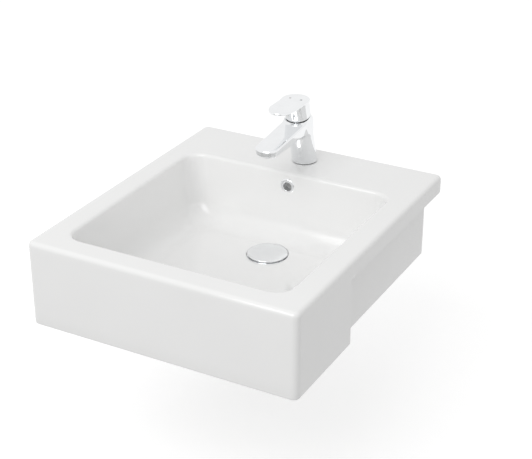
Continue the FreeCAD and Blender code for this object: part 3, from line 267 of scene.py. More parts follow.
def tongue(points, half, back, front, nose):
    """Distance in plan from the edge of a tongue: half round behind, straight sides,
    and half an ellipse in front."""
    x, y = points[..., 0], points[..., 1]
    ahead = np.minimum(y - front, 0)
    size = np.hypot(x / half, ahead / nose)
    slope = np.hypot(x / half ** 2, ahead / nose ** 2)
    ellipse = size * (size - 1) / np.maximum(slope, 1e-6)
    straight = np.hypot(x, np.maximum(y - back, 0)) - half
    return np.where(y < front, ellipse, straight)


def edge_ends(direction):
    """Indices of the near and the far ends of all grid edges in a direction."""
    near, far = [slice(None)] * 3, [slice(None)] * 3
    near[direction], far[direction] = slice(None, -1), slice(1, None)
    return tuple(near), tuple(far)


def surface_net(form, low, high, step):
    """Points and quads of the surface where a form's distance is zero.

    Each grid cell that the surface crosses gets one point, the mean of the
    crossings on its edges, which is then moved down the distance's slope on to
    the surface. Each crossed grid edge joins the points of its four cells."""
    low, high = np.array(low, float), np.array(high, float)
    counts = np.ceil((high - low) / step).astype(int) + 1
    axes = [low[i] + step * np.arange(counts[i]) for i in range(3)]
    grid = np.stack(np.meshgrid(*axes, indexing="ij"), axis=-1)
    field = np.concatenate([form(part) for part in np.array_split(grid, 8)])
    inside = field < 0
    cells = tuple(n - 1 for n in counts)
    total, crossings = np.zeros(cells + (3,)), np.zeros(cells)
    for direction in range(3):
        near, far = edge_ends(direction)
        a, b = field[near], field[far]
        crossed = inside[near] != inside[far]
        share = np.where(crossed, a / np.where(crossed, a - b, 1), 0)
        others = [i for i in range(3) if i != direction]
        for first in (0, 1):
            for second in (0, 1):
                part = [slice(None)] * 3
                part[others[0]] = slice(first, cells[others[0]] + first)
                part[others[1]] = slice(second, cells[others[1]] + second)
                part = tuple(part)
                hit = crossed[part]
                offset = np.zeros(cells + (3,))
                offset[..., direction] = share[part]
                offset[..., others[0]], offset[..., others[1]] = first, second
                total += offset * hit[..., None]
                crossings += hit
    active = crossings > 0
    number = np.full(cells, -1)
    number[active] = np.arange(active.sum())
    points = (total[active] / crossings[active][:, None] + np.argwhere(active)) * step + low
    quads = []
    for direction in range(3):
        u, v = [(1, 2), (2, 0), (0, 1)][direction]
        near, far = edge_ends(direction)
        start = np.argwhere(inside[near] != inside[far])
        start = start[(start[:, u] > 0) & (start[:, v] > 0)
                      & (start[:, u] < cells[u]) & (start[:, v] < cells[v])]
        corner = []
        for du, dv in ((-1, -1), (0, -1), (0, 0), (-1, 0)):
            cell = start.copy()
            cell[:, u] += du
            cell[:, v] += dv
            corner.append(number[tuple(cell.T)])
        quad = np.stack(corner, axis=1)
        leaving = inside[tuple(start.T)]
        quads.append(np.where(leaving[:, None], quad, quad[:, ::-1]))
    for _ in range(3):
        slope = gradient(form, points)
        points = points - slope * np.clip(form(points), -step / 2, step / 2)[:, None]
    return points, np.concatenate(quads), gradient(form, points)


def gradient(form, points, reach=0.02):
    """Unit slope of a form's distance, by differences a little to both sides."""
    slope = np.empty_like(points)
    for i in range(3):
        step = np.zeros(3)
        step[i] = reach
        slope[:, i] = form(points + step) - form(points - step)
    return slope / np.maximum(np.linalg.norm(slope, axis=1), 1e-9)[:, None]


def implicit_piece(name, form, low, high, step, material, body, slot, *nodes):
    """A piece from an implicit form, shaded by the form's own slope."""
    points, faces, normals = surface_net(form, low, high, step)
    thing = piece(name, points, faces, material, body, slot, *nodes)
    mesh = thing.data
    mesh.polygons.foreach_set("use_smooth", np.ones(len(mesh.polygons), bool))
    if len(mesh.vertices) == len(normals):
        mesh.normals_split_custom_set_from_vertices(normals.tolist())
    return thing


# ----------------------------------------
# The casting
# ----------------------------------------
def ring(half, low, high, radius, back_half=None, step_y=SHOULDER):
    """One ring of the casting, counter-clockwise from above: a rounded rectangle,
    whose sides may step in at a given y. Every ring has the same number of samples
    on each side, arc and part of a side."""
    back_half = half if back_half is None else back_half
    stepped = back_half != half
    quarter = np.linspace(0, np.pi / 2, ARC + 2)[1:-1]
    front_part = np.linspace(low + radius, step_y, SIDE_FRONT)
    gap = 0 if stepped else (high - radius - step_y) / SIDE_BACK
    back_part = np.linspace(step_y + gap, high - radius, SIDE_BACK)
    x = [np.full(SIDE_FRONT, half), np.full(SIDE_BACK, back_half),
         back_half - radius + radius * np.cos(quarter)]
    y = [front_part, back_part, high - radius + radius * np.sin(quarter)]
    across = np.linspace(back_half - radius, radius - back_half, ACROSS)
    x += [across, -x[2][::-1], -x[1], -x[0], -half + radius - radius * np.cos(quarter)]
    y += [np.full(ACROSS, high), y[2][::-1], back_part[::-1], front_part[::-1],
          low + radius - radius * np.sin(quarter)]
    across = np.linspace(radius - half, half - radius, ACROSS)
    x += [across, -x[7][::-1]]
    y += [np.full(ACROSS, low), y[7][::-1]]
    return np.stack([np.concatenate(x), np.concatenate(y)], axis=1)


def raised(outline, height):
    """A plan outline at a height, which may differ from point to point."""
    height = np.broadcast_to(height, len(outline))
    return np.column_stack([outline, height])


def bowl_ring(inset, grow=0.0):
    """The bowl's outline moved inwards, or the same of its outside when grown."""
    radius = BOWL_CORNER + grow - min(inset, 0)
    half = min(BOWL_HALF - inset + grow, OUTSIDE_LIMIT)
    return ring(half, BOWL_FRONT + inset - grow, BOWL_BACK - inset + grow, radius)


def bowl_height(x, y, grow=0.0):
    """Height of the bowl's floor and blend over a plan point.

    Inside the outline at the blend's top the distance s to it is the smaller of
    the distances to two walls, or near a corner the inset whose corner arc passes
    through the point. The blend is a quarter circle over s, and the floor falls to
    the drain in proportion to how near that is, compared with the blend."""
    beside = BOWL_HALF - LEAN + grow - np.abs(x)
    ahead = np.minimum(y - (BOWL_FRONT + LEAN - grow), (BOWL_BACK - LEAN + grow) - y)
    radius = BOWL_CORNER + grow
    a, b = beside - radius, ahead - radius
    corner = (a + b + np.sqrt(np.maximum(2 * radius ** 2 - (a - b) ** 2, 0))) / 2
    s = np.where(np.abs(a - b) < radius, corner, np.minimum(beside, ahead))
    curve = BLEND + grow
    share = np.clip((s + BLEND_START) / curve, 0, 1)
    height = FLOOR - grow + curve * (1 - np.sqrt(np.maximum(1 - (1 - share) ** 2, 0)))
    near = np.maximum(np.hypot(x, y - DRAIN_Y) - DRAIN_RADIUS, 0.01)
    far = np.maximum(s - BLEND_REACH, 0)
    return height - FALL * (1 - near / (near + far))


def rays(outline, radius, count, grow=0.0):
    """Rings between a circle round the drain and an outline, carried on the bowl's height.

    Each point goes straight from the circle to its point of the outline, with about
    half of the rings in the last part, where the blend turns up. That part is longer
    where the ray meets the outline at a slant."""
    center = np.array([0.0, DRAIN_Y])
    away = outline - center
    length = np.linalg.norm(away, axis=1)
    unit = away / length[:, None]
    tangent = np.roll(outline, -1, axis=0) - np.roll(outline, 1, axis=0)
    tangent /= np.linalg.norm(tangent, axis=1)[:, None]
    facing = np.abs(unit[:, 0] * tangent[:, 1] - unit[:, 1] * tangent[:, 0])
    last = np.clip((BLEND_REACH + grow) / np.maximum(facing, 0.3) / (length - radius),
                   0.12, 0.75)
    rings = []
    for share in np.linspace(0, 1, count):
        way = (share / FLAT_SHARE * (1 - last) if share < FLAT_SHARE
               else 1 - last + (share - FLAT_SHARE) / (1 - FLAT_SHARE) * last)
        plan = center + unit * (radius + way * (length - radius))[:, None]
        rings.append(raised(plan, bowl_height(plan[:, 0], plan[:, 1], grow)))
    return rings


def circle_like(outline, radius):
    """Points of a circle round the drain in the directions of an outline's points."""
    center = np.array([0.0, DRAIN_Y])
    away = outline - center
    return center + away / np.linalg.norm(away, axis=1)[:, None] * radius


def drain_rings(foot):
    """Up through the drain hole, across the recess and over its rounded edge."""
    rings = []
    for radius, height in ((DRAIN_RADIUS, BOSS_FOOT + 1), (DRAIN_RADIUS, RECESS_FLOOR - 2),
                           (DRAIN_RADIUS + 1, RECESS_FLOOR), (29, RECESS_FLOOR),
                           (RECESS_RADIUS - RECESS_ROUND, RECESS_FLOOR),
                           (RECESS_RADIUS - 0.4, RECESS_FLOOR + 0.4),
                           (RECESS_RADIUS, RECESS_FLOOR + RECESS_ROUND)):
        rings.append(raised(circle_like(foot, radius), height))
    for share in (0.0, 0.35, 0.7):
        turn = share * math.pi / 2
        plan = circle_like(foot, RECESS_RADIUS + RECESS_EDGE * (1 - math.cos(turn)))
        level = bowl_height(plan[:, 0], plan[:, 1])
        rings.append(raised(plan, level - RECESS_EDGE * (1 - math.sin(turn))))
    return rings


def rim_rings(lip, edge, tilt):
    """Up the leaning wall, over the lip, across the rim, round its edge and down to the
    seat level."""
    centre = lip * math.tan(tilt) - lip / math.cos(tilt)
    low = RIM - lip + lip * math.sin(tilt)
    rings = []
    for share in np.linspace(0, 1, 9)[1:-1]:
        height = BLEND_TOP + share * (low - BLEND_TOP)
        rings.append(raised(bowl_ring((RIM - height) * math.tan(tilt)), height))
    for angle in np.linspace(tilt, math.pi / 2, 9):
        rings.append(raised(bowl_ring(centre + lip * math.cos(angle)),
                            RIM - lip + lip * math.sin(angle)))
    inner = bowl_ring(centre)
    outer = ring(HALF_WIDTH - edge, FRONT + edge, BACK - edge, CORNER - edge)
    for share in np.linspace(0, 1, 9)[1:-1]:
        rings.append(raised(inner + (outer - inner) * share, RIM))
    for angle in np.linspace(math.pi / 2, 0, 10):
        inset = edge * (1 - math.cos(angle))
        rings.append(raised(ring(HALF_WIDTH - inset, FRONT + inset, BACK - inset,
                                 CORNER - inset), RIM - edge + edge * math.sin(angle)))
    rim = ring(HALF_WIDTH, FRONT, BACK, CORNER)
    for height in (18.0, 12.0, 6.0, 0.6):
        rings.append(raised(rim, height))
    return rings


def apron_rings():
    """In across the seat strip at the sides and back, down the apron, round its foot and
    up inside it."""
    stepped = ring(HALF_WIDTH, FRONT, BACK - SEAT, CORNER, HALF_WIDTH - SEAT)
    behind = (stepped[:, 1] > SHOULDER - 0.01) & ~((np.abs(stepped[:, 0]) > HALF_WIDTH - 1)
                                                   & (stepped[:, 1] < SHOULDER + 1))
    rim = ring(HALF_WIDTH, FRONT, BACK, CORNER)
    under = ring(HALF_WIDTH - 0.6, FRONT + 0.6, BACK - 0.6, CORNER - 0.6)
    plan = np.where(behind[:, None], under, rim)
    rings = [raised(plan, np.where(behind, SEAT_LEVEL, SEAT_LEVEL + 0.2)),
             raised(stepped, np.where(behind, SEAT_LEVEL, -0.5))]
    for height in (-4.0, -30.0, -60.0, -90.0):
        rings.append(raised(stepped, height))
    for angle in np.linspace(0, math.pi / 2, 6):
        inset = FOOT_EDGE * (1 - math.cos(angle))
        outline = ring(HALF_WIDTH - inset, FRONT + inset, BACK - SEAT - inset,
                       CORNER - inset, HALF_WIDTH - SEAT - inset, SHOULDER - inset)
        rings.append(raised(outline, APRON_FOOT + FOOT_EDGE - FOOT_EDGE * math.sin(angle)))
    for inset, height in ((9.5, APRON_FOOT), (WALL - HOLLOW_EDGE, APRON_FOOT),
                          (WALL, APRON_FOOT + HOLLOW_EDGE), (WALL, -60.0), (WALL, -10.0),
                          (WALL, HOLLOW_TOP - 2), (WALL + 2, HOLLOW_TOP)):
        rings.append(raised(ring(HALF_WIDTH - inset, FRONT + inset, BACK - SEAT - inset,
                                 HOLLOW_CORNER, HALF_WIDTH - SEAT - inset,
                                 SHOULDER - inset), height))
    return rings


def underside_rings(tilt):
    """Down the bowl's outside, in under its floor and round the drain's boss."""
    outside = bowl_ring(LEAN, WALL)
    rings = []
    for height in (HOLLOW_TOP, -10.0, -35.0):
        rings.append(raised(bowl_ring((RIM - height) * math.tan(tilt), WALL), height))
    rings += rays(outside, BOSS_RADIUS + 2, UNDER_RINGS, WALL)[::-1]
    plan = circle_like(outside, BOSS_RADIUS)
    rings.append(raised(plan, bowl_height(plan[:, 0], plan[:, 1], WALL) - BOSS_DROP))
    for radius, height in ((BOSS_RADIUS, BOSS_FOOT + BOSS_EDGE),
                           (BOSS_RADIUS - BOSS_EDGE, BOSS_FOOT),
                           (DRAIN_RADIUS + 1, BOSS_FOOT)):
        rings.append(raised(circle_like(outside, radius), height))
    return rings


def casting_rings(sizes):
    """All rings of the casting, from the drain hole up over the bowl, the rim and the
    apron, and back under it to the drain hole."""
    foot = bowl_ring(LEAN)
    tilt = math.atan2(LEAN, RIM - BLEND_TOP)
    rings = drain_rings(foot) + rays(foot, RECESS_RADIUS + RECESS_EDGE, FLOOR_RINGS)
    rings += rim_rings(sizes.lip * PER_METRE, sizes.rim_edge * PER_METRE, tilt)
    return np.array(rings + apron_rings() + underside_rings(tilt))


def duct_block():
    """The overflow duct behind the bowl: a rounded outline carried straight up, closed
    by a point in the middle of each end."""
    outline = soft_profile([(-DUCT_HALF, DUCT_FRONT), (DUCT_HALF, DUCT_FRONT),
                            (DUCT_HALF, DUCT_BACK), (-DUCT_HALF, DUCT_BACK)], DUCT_EDGE)
    middle = outline.mean(0)
    low, high = DUCT_CHAMFER
    levels = [(0.0, DUCT_FOOT), (DUCT_END, DUCT_FOOT), (1.0, DUCT_FOOT + low),
              (1.0, DUCT_TOP - high), (DUCT_END, DUCT_TOP), (0.0, DUCT_TOP)]
    rows = [np.column_stack([middle + (outline - middle) * share,
                             np.full(len(outline), height)]) for share, height in levels]
    return np.concatenate(rows), grid_faces(len(levels), len(outline), False)


def make_casting(look):
    """The casting, with the tap hole and the overflow hole cut and the duct added."""
    rings = casting_rings(look.sizes)
    points = rings.reshape(-1, 3)
    faces = outward(points, grid_faces(len(rings), rings.shape[1], True))
    glaze = finish_of("glazed_white", look.finish)
    casting = piece("basin_casting", points, faces, glaze, "base", "glazed_white", "basin")
    merge(casting)
    overflow = (0, OVERFLOW_START, OVERFLOW_Z), (0, 1, 0), OVERFLOW_RADIUS
    cut(casting, [drum((0, TAP_Y, TAP_HOLE_START), (0, 0, 1), TAP_HOLE, TAP_HOLE_LENGTH),
                  drum(*overflow, OVERFLOW_WALL_CUT)])
    points, faces = duct_block()
    duct = piece("duct", points, outward(points, faces), glaze, "base", "glazed_white")
    merge(duct)
    cut(duct, [drum(*overflow, OVERFLOW_DUCT_CUT)])
    select_only(duct, casting)
    bpy.ops.object.join()
    smooth_by_angle(casting, 32)


# ----------------------------------------
# The overflow ring and the waste cap
# ----------------------------------------
# In millimetres: the ring's flange and sleeve, and the cap's crown, rim and wall.
FLANGE_RADIUS, FLANGE_INNER, FLANGE_THICK, FLANGE_ROUND = 14.5, 8.0, 2.4, 0.9
SLEEVE_ROOT, SLEEVE_RADIUS = 9.0, 8.95
CAP_CROWN, CAP_EDGE, CAP_WALL, CAP_THICK = 0.9, 1.6, 2.8, 2.4


def make_overflow_ring(look):
    """The overflow ring: a rounded flange and sleeve profile turned about the hole."""
    low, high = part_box("overflow_ring")
    front, back = low[1] * PER_METRE, high[1] * PER_METRE
    depth = back - front
    profile = soft_profile([(FLANGE_INNER, 0), (12.6, 0), (FLANGE_RADIUS, 1.9),
                            (FLANGE_RADIUS, FLANGE_THICK), (SLEEVE_ROOT, FLANGE_THICK),
                            (SLEEVE_RADIUS, depth), (FLANGE_INNER, depth)], FLANGE_ROUND)
    ring_piece = turned("overflow_trim", profile, (0, front, OVERFLOW_Z), (0, 1, 0),
                        finish_of("chrome", look.finish), "base", "chrome",
                        "overflow_ring")
    smooth_by_angle(ring_piece, 40)


def make_waste_cap(look):
    """The waste cap: a shallow dome with a rounded rim and a side that leans in towards
    the foot, turned about the drain, and hollow underneath."""
    low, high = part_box("waste_cap")
    foot, top = low[2] * PER_METRE, high[2] * PER_METRE
    radius = (high[0] - low[0]) / 2 * PER_METRE
    across = np.linspace(0, 1, 14)
    dome = np.column_stack([across * (radius - CAP_EDGE), top - CAP_CROWN * across ** 2])
    turn = np.linspace(0, math.pi / 2, 8)[1:]
    shoulder = np.column_stack([radius - CAP_EDGE + CAP_EDGE * np.sin(turn),
                                top - CAP_CROWN - CAP_EDGE * (1 - np.cos(turn))])
    under = np.array([(radius - 0.3, top - 2.9), (radius - 1.8, foot + 0.4),
                      (radius - 2.1, foot), (radius - 2.6, foot + 0.2),
                      (radius - CAP_WALL, foot + 1), (radius - CAP_WALL, top - 3.4),
                      (radius - 3.6, top - 2.8), (0, top - CAP_THICK)])
    profile = np.concatenate([dome, shoulder, under])
    cap = turned("waste_plate", profile, (0, DRAIN_Y, 0), (0, 0, 1),
                 finish_of("chrome", look.finish), "plug", "chrome", "waste_cap")
    smooth_by_angle(cap, 35)


# ----------------------------------------
# The tap
# ----------------------------------------
# The tap's casting in millimetres: its spout, its rounded ends and the gap under the
# lever, the cartridge's bore, the hose sockets, the stud's hole and the outlet's thread,
# and the box and step in which it is sampled.
SPOUT_LOW_HALF, SPOUT_TOP_HALF, SPOUT_FOOT, OUTLET_Y = 18.3, 21.8, 94.0, -189.0
SPOUT_BACK, SPOUT_FRONT, SPOUT_NOSE = -71.3, -189.5, 16.0
SPOUT_TOP, SPOUT_ROOT, SPOUT_FALL = 118.0, -93.6, 0.1
COLUMN_EDGE, GAP_RADIUS, BORE_RADIUS, BORE_DEPTH = 0.8, 23.7, 17.7, 38.0
HOSE_X, HOSE_Y, HOSE_RADIUS, HOLE_DEPTH = 7.0, -50.5, 4.46, 12.0
STUD_Y, STUD_RADIUS, THREAD_RADIUS, THREAD_TOP = -37.0, 4.0, 12.05, 102.0
TAP_LOW, TAP_HIGH, TAP_STEP = (-24, -213, 30.5), (24, -24, 130), 0.8


def tap_form(points, fillet, edge):
    """Signed distance of the tap's casting.

    A leaning round column, rounded where it meets its two end planes, is joined by a
    fillet to the spout: a tongue between a level underside and a top that falls
    forwards, whose sides lean out towards the top. The fillet ends at the body's own
    width. A flat round gap is cut above the column, then the cartridge's bore, the hose
    sockets, the stud's hole and the outlet's thread."""
    y, z = points[..., 1], points[..., 2]
    height, radial = along(points), around(points)
    column = both(COLUMN_EDGE, radial - BODY_RADIUS, height + HANDLE_GAP, TAP_FOOT - z)
    rise = np.clip((z - SPOUT_FOOT) / (SPOUT_TOP - SPOUT_FOOT), 0, 1)
    half = SPOUT_LOW_HALF + (SPOUT_TOP_HALF - SPOUT_LOW_HALF) * np.sqrt(rise)
    plan = tongue(points, half, SPOUT_BACK, SPOUT_FRONT, SPOUT_NOSE)
    top = (z - SPOUT_TOP - SPOUT_FALL * (y - SPOUT_ROOT)) / math.hypot(1, SPOUT_FALL)
    spout = both(edge, plan, top, SPOUT_FOOT - z)
    form = together(fillet, column, spout)
    form = np.maximum(form, np.abs(points[..., 0]) - BODY_RADIUS)
    gap = np.maximum(radial - GAP_RADIUS, -HANDLE_GAP - height)
    bore = np.maximum(radial - BORE_RADIUS, -BORE_DEPTH - height)
    above_holes = z - TAP_FOOT - HOLE_DEPTH
    hoses = [np.maximum(upright(points, side * HOSE_X, HOSE_Y) - HOSE_RADIUS, above_holes)
             for side in (-1, 1)]
    stud = np.maximum(upright(points, 0, STUD_Y) - STUD_RADIUS, above_holes)
    thread = np.maximum(upright(points, 0, OUTLET_Y) - THREAD_RADIUS, z - THREAD_TOP)
    for hollow in (gap, bore, *hoses, stud, thread):
        form = np.maximum(form, -hollow)
    return form


def make_tap_body(look):
    """The tap's body and spout as one chromed casting."""
    sizes = look.sizes
    fillet, edge = sizes.spout_fillet * PER_METRE, sizes.spout_edge * PER_METRE
    implicit_piece("tap_casting", lambda points: tap_form(points, fillet, edge),
                   TAP_LOW, TAP_HIGH, TAP_STEP,
                   finish_of("chrome", look.finish), "base", "chrome", "tap_body")


# The lever in millimetres: its level plate, and measured along the leaning axis its
# skirt, the socket for the stem and the cut behind that lets it tilt; and the box and
# step in which it is sampled.
PLATE_TOP, PLATE_FOOT, PLATE_HALF = 159.64, 155.68, 23.3
PLATE_BACK, PLATE_FRONT, PLATE_NOSE = -87.1, -132.4, 31.2
SKIRT_HEIGHT, SKIRT_EDGE, SKIRT_HOLLOW = 34.0, 0.5, 19.8
SOCKET_RADIUS, SOCKET_FOOT, STEM_RADIUS, STEM_TOP = 8.0, 12.0, 5.8, 26.0
RELIEF_SLOPE, RELIEF_START = math.tan(math.radians(22)), 0.73
LEVER_LOW, LEVER_HIGH, LEVER_STEP = (-25, -166, 119), (25, -55, 161), 0.6


def lever_form(points, fillet, edge):
    """Signed distance of the lever.

    The plate is a level tongue. The skirt is a leaning cone that gets a millimetre wider
    up to the plate, joined to it by a fillet. It is hollow, its rear edge is cut back
    along a slope, and a round socket for the stem hangs inside it."""
    z = points[..., 2]
    height, radial = along(points), around(points)
    plan = tongue(points, PLATE_HALF, PLATE_BACK, PLATE_FRONT, PLATE_NOSE)
    plate = both(edge, plan, z - PLATE_TOP, PLATE_FOOT - z)
    wide = BODY_RADIUS + np.clip(height, 0, SKIRT_HEIGHT) / SKIRT_HEIGHT
    skirt = both(SKIRT_EDGE, radial - wide, -height, z - PLATE_TOP)
    form = together(fillet, plate, skirt)
    form = np.maximum(form, z - PLATE_TOP)
    hollow = np.maximum(radial - SKIRT_HOLLOW, z - PLATE_FOOT)
    form = np.maximum(form, -hollow)
    socket = both(SKIRT_EDGE, radial - SOCKET_RADIUS, SOCKET_FOOT - height,
                  z - PLATE_TOP + 1)
    stem = np.maximum(radial - STEM_RADIUS, height - STEM_TOP)
    form = np.minimum(form, np.maximum(socket, -stem))
    behind = (points - HEAD) @ BEHIND
    relief = (RELIEF_SLOPE * (behind - RELIEF_START) - height) / math.hypot(1, RELIEF_SLOPE)
    return np.maximum(form, relief)


def make_lever(look):
    """The lever: plate, skirt and socket as one chromed casting."""
    sizes = look.sizes
    fillet, edge = sizes.lever_fillet * PER_METRE, sizes.lever_edge * PER_METRE
    implicit_piece("lever_casting", lambda points: lever_form(points, fillet, edge),
                   LEVER_LOW, LEVER_HIGH, LEVER_STEP,
                   finish_of("chrome", look.finish), "lever", "chrome", "handle")


# ----------------------------------------
# Finishes
# ----------------------------------------
class Finish:
    """A new material with one Principled shader, and short names for its nodes."""

    def __init__(self, name):
        self.material = bpy.data.materials.new(name)
        self.material.use_nodes = True
        self.tree = self.material.node_tree
        self.shader = self.tree.nodes["Principled BSDF"]
        self.place = self.tree.nodes.new("ShaderNodeTexCoord").outputs["Object"]

    def set(self, **values):
        """Set sockets of the shader by name, with _ for a space."""
        for name, number in values.items():
            self.shader.inputs[name.replace("_", " ")].default_value = number
        return self

    def noise(self, scale, detail=3.0, roughness=0.5, stretch=(1, 1, 1)):
        """Noise over the object's own coordinates."""
        mapping = self.tree.nodes.new("ShaderNodeMapping")
        mapping.inputs["Scale"].default_value = stretch
        node = self.tree.nodes.new("ShaderNodeTexNoise")
        node.inputs["Scale"].default_value = scale
        node.inputs["Detail"].default_value = detail
        node.inputs["Roughness"].default_value = roughness
        self.tree.links.new(self.place, mapping.inputs["Vector"])
        self.tree.links.new(mapping.outputs["Vector"], node.inputs["Vector"])
        return node.outputs["Fac"]

    def spread(self, source, low, high, start=0.3, end=0.7):
        """Map a noise's middle part on to a range of values."""
        node = self.tree.nodes.new("ShaderNodeMapRange")
        for name, number in (("From Min", start), ("From Max", end),
                             ("To Min", low), ("To Max", high)):
            node.inputs[name].default_value = number
        self.tree.links.new(source, node.inputs["Value"])
        return node.outputs["Result"]

    def colour(self, source, one, other):
        """Colour that varies between two with a noise."""
        node = self.tree.nodes.new("ShaderNodeMix")
        node.data_type = "RGBA"
        node.inputs["A"].default_value = (*one, 1)
        node.inputs["B"].default_value = (*other, 1)
        self.tree.links.new(self.spread(source, 0, 1), node.inputs["Factor"])
        self.tree.links.new(node.outputs["Result"], self.shader.inputs["Base Color"])
        return self

    def rough(self, source, low, high):
        """Roughness that varies with a noise."""
        self.tree.links.new(self.spread(source, low, high), self.shader.inputs["Roughness"])
        return self

    def bump(self, *layers):
        """Bumps, each from a noise with its own depth in metres."""
        normal = None
        for source, depth in layers:
            node = self.tree.nodes.new("ShaderNodeBump")
            node.inputs["Distance"].default_value = depth
            node.inputs["Strength"].default_value = 1.0
            self.tree.links.new(source, node.inputs["Height"])
            if normal is not None:
                self.tree.links.new(normal, node.inputs["Normal"])
            normal = node.outputs["Normal"]
        self.tree.links.new(normal, self.shader.inputs["Normal"])
        return self


def shade(colour, factor):
    """A colour made a little darker or lighter."""
    return tuple(min(1.0, part * factor) for part in colour)


def glazed_ceramic(settings):
    """White glaze: nearly even colour, a soft gloss that varies a little, the long
    waves of a fired casting and a very fine grain."""
    finish = Finish("glazed_ceramic")
    glaze = tuple(settings.glaze)
    finish.set(IOR=1.52, Specular_IOR_Level=0.5, Coat_Weight=0.35, Coat_Roughness=0.06,
               Subsurface_Weight=0.0)
    finish.colour(finish.noise(7.0, 2.0), glaze, shade(glaze, 0.985))
    finish.rough(finish.noise(30.0, 4.0), settings.gloss * 0.8, settings.gloss * 1.35)
    finish.bump((finish.noise(9.0, 1.0), settings.waves), (finish.noise(420.0, 2.0), 0.000006))
    return finish.material


def chrome(settings):
    """Polished chrome: mirror metal with a faint cloudiness and hair-fine wipe marks."""
    finish = Finish("polished_chrome")
    tone = tuple(settings.chrome)
    finish.set(Metallic=1.0)
    finish.colour(finish.noise(55.0, 3.0), tone, shade(tone, 0.97))
    finish.rough(finish.noise(90.0, 4.0, 0.6), 0.045, 0.085)
    finish.bump((finish.noise(60.0, 1.0), 0.00002),
                (finish.noise(1500.0, 2.0, 0.5, (1, 0.2, 1)), 0.0000008))
    return finish.material


def plain_metal(name, tone, low, high, stretch):
    """Turned or drawn metal: fine lines along one direction and uneven gloss."""
    finish = Finish(name)
    finish.set(Metallic=1.0)
    finish.colour(finish.noise(120.0, 4.0), tone, shade(tone, 0.86))
    finish.rough(finish.noise(250.0, 5.0, 0.6, stretch), low, high)
    finish.bump((finish.noise(900.0, 3.0, 0.6, stretch), 0.00002))
    return finish.material


def soft_matter(name, tone, low, high, grain, depth):
    """Rubber or moulded plastic: uneven gloss over a fine moulded grain."""
    finish = Finish(name)
    finish.colour(finish.noise(60.0, 4.0), tone, shade(tone, 0.82))
    finish.rough(finish.noise(180.0, 4.0), low, high)
    finish.bump((finish.noise(grain, 3.0), depth))
    return finish.material


# By slot: name, colour, least and most roughness, and the stretch of the metal's lines.
METALS = {"brass": ("turned_brass", (0.72, 0.52, 0.24), 0.22, 0.38, (0.2, 0.2, 3)),
          "steel": ("stainless_steel", (0.62, 0.61, 0.59), 0.25, 0.42, (1, 1, 4))}

# By slot: name, colour, least and most roughness, the grain's fineness and its depth.
SOFT = {"rubber": ("black_rubber", (0.035, 0.035, 0.037), 0.6, 0.8, 1100.0, 0.00006),
        "plastic": ("white_plastic", (0.78, 0.78, 0.76), 0.35, 0.5, 1500.0, 0.00002),
        "dark_plastic": ("grey_plastic", (0.09, 0.09, 0.095), 0.3, 0.45, 1500.0, 0.00002),
        "ceramic_disc": ("lapped_ceramic", (0.82, 0.8, 0.76), 0.12, 0.2, 2500.0, 0.000004),
        "hot_colour": ("hot_mark_colour", (0.5, 0.46, 0.46), 0.3, 0.4, 1500.0, 0.00001),
        "cold_colour": ("cold_mark_colour", (0.2, 0.21, 0.24), 0.3, 0.4, 1500.0, 0.00001)}

MADE = {}


def finish_of(slot, settings):
    """The finish of a slot, made once and given again when it is asked for again."""
    if slot not in MADE:
        if slot in METALS:
            MADE[slot] = plain_metal(*METALS[slot])
        elif slot in SOFT:
            MADE[slot] = soft_matter(*SOFT[slot])
        else:
            MADE[slot] = {"glazed_white": glazed_ceramic, "chrome": chrome}[slot](settings)
    return MADE[slot]


def finish_fittings(look):
    """Give every solid that stays its finish by the slot that the record names."""
    slots = {part["node"]: part["material_slot"] for part in frame["record"]["subparts"]}
    for name, thing in frame["nodes"].items():
        material = finish_of(slots[name], look.finish)
        if not thing.data.materials:
            thing.data.materials.append(material)
        for slot in thing.material_slots:
            slot.material = material


# ----------------------------------------
# The studio
# ----------------------------------------
# Places and sizes in metres, the lens and its sensor in millimetres.
CAMERA_PLACE = (0.9807, -2.0020, 0.9872)
CAMERA_AIM = (-0.4262, 0.7858, -0.4481)
CAMERA_LENS, CAMERA_SENSOR = 90.44, 36.0
LAMP_AIM = (0, -0.27, 0)
KEY_PLACE, KEY_SIZE = (-0.25, -3.2, 2.3), (2.6, 2.6)
TOP_PLACE, TOP_SIZE = (0.0, 0.3, 2.8), (2.4, 1.6)
FLOOR_SIZE, FLOOR_GREY, FLOOR_GLOW, FLOOR_UNSEEN = 14, 0.8, 0.42, 0.4


def white_to_view(tree, dark, bright):
    """A shader that is the bright one for camera, glossy and transmission rays, and the
    dark one for all others."""
    path = tree.nodes.new("ShaderNodeLightPath")
    seen = tree.nodes.new("ShaderNodeMath")
    seen.operation = "MAXIMUM"
    tree.links.new(path.outputs["Is Camera Ray"], seen.inputs[0])
    tree.links.new(path.outputs["Is Glossy Ray"], seen.inputs[1])
    either = tree.nodes.new("ShaderNodeMath")
    either.operation = "MAXIMUM"
    tree.links.new(seen.outputs[0], either.inputs[0])
    tree.links.new(path.outputs["Is Transmission Ray"], either.inputs[1])
    mixer = tree.nodes.new("ShaderNodeMixShader")
    tree.links.new(either.outputs[0], mixer.inputs["Fac"])
    tree.links.new(dark, mixer.inputs[1])
    tree.links.new(bright, mixer.inputs[2])
    return mixer.outputs[0]


def add_lamp(name, place, size, power):
    """A soft lamp that looks at the middle of the basin."""
    light = bpy.data.lights.new(name, "AREA")
    light.shape = "RECTANGLE"
    light.size, light.size_y = size
    light.energy = power
    lamp = bpy.data.objects.new(name, light)
    lamp.location = place
    look_way = Vector(LAMP_AIM) - Vector(place)
    lamp.rotation_euler = look_way.to_track_quat("-Z", "Y").to_euler()
    bpy.context.scene.collection.objects.link(lamp)


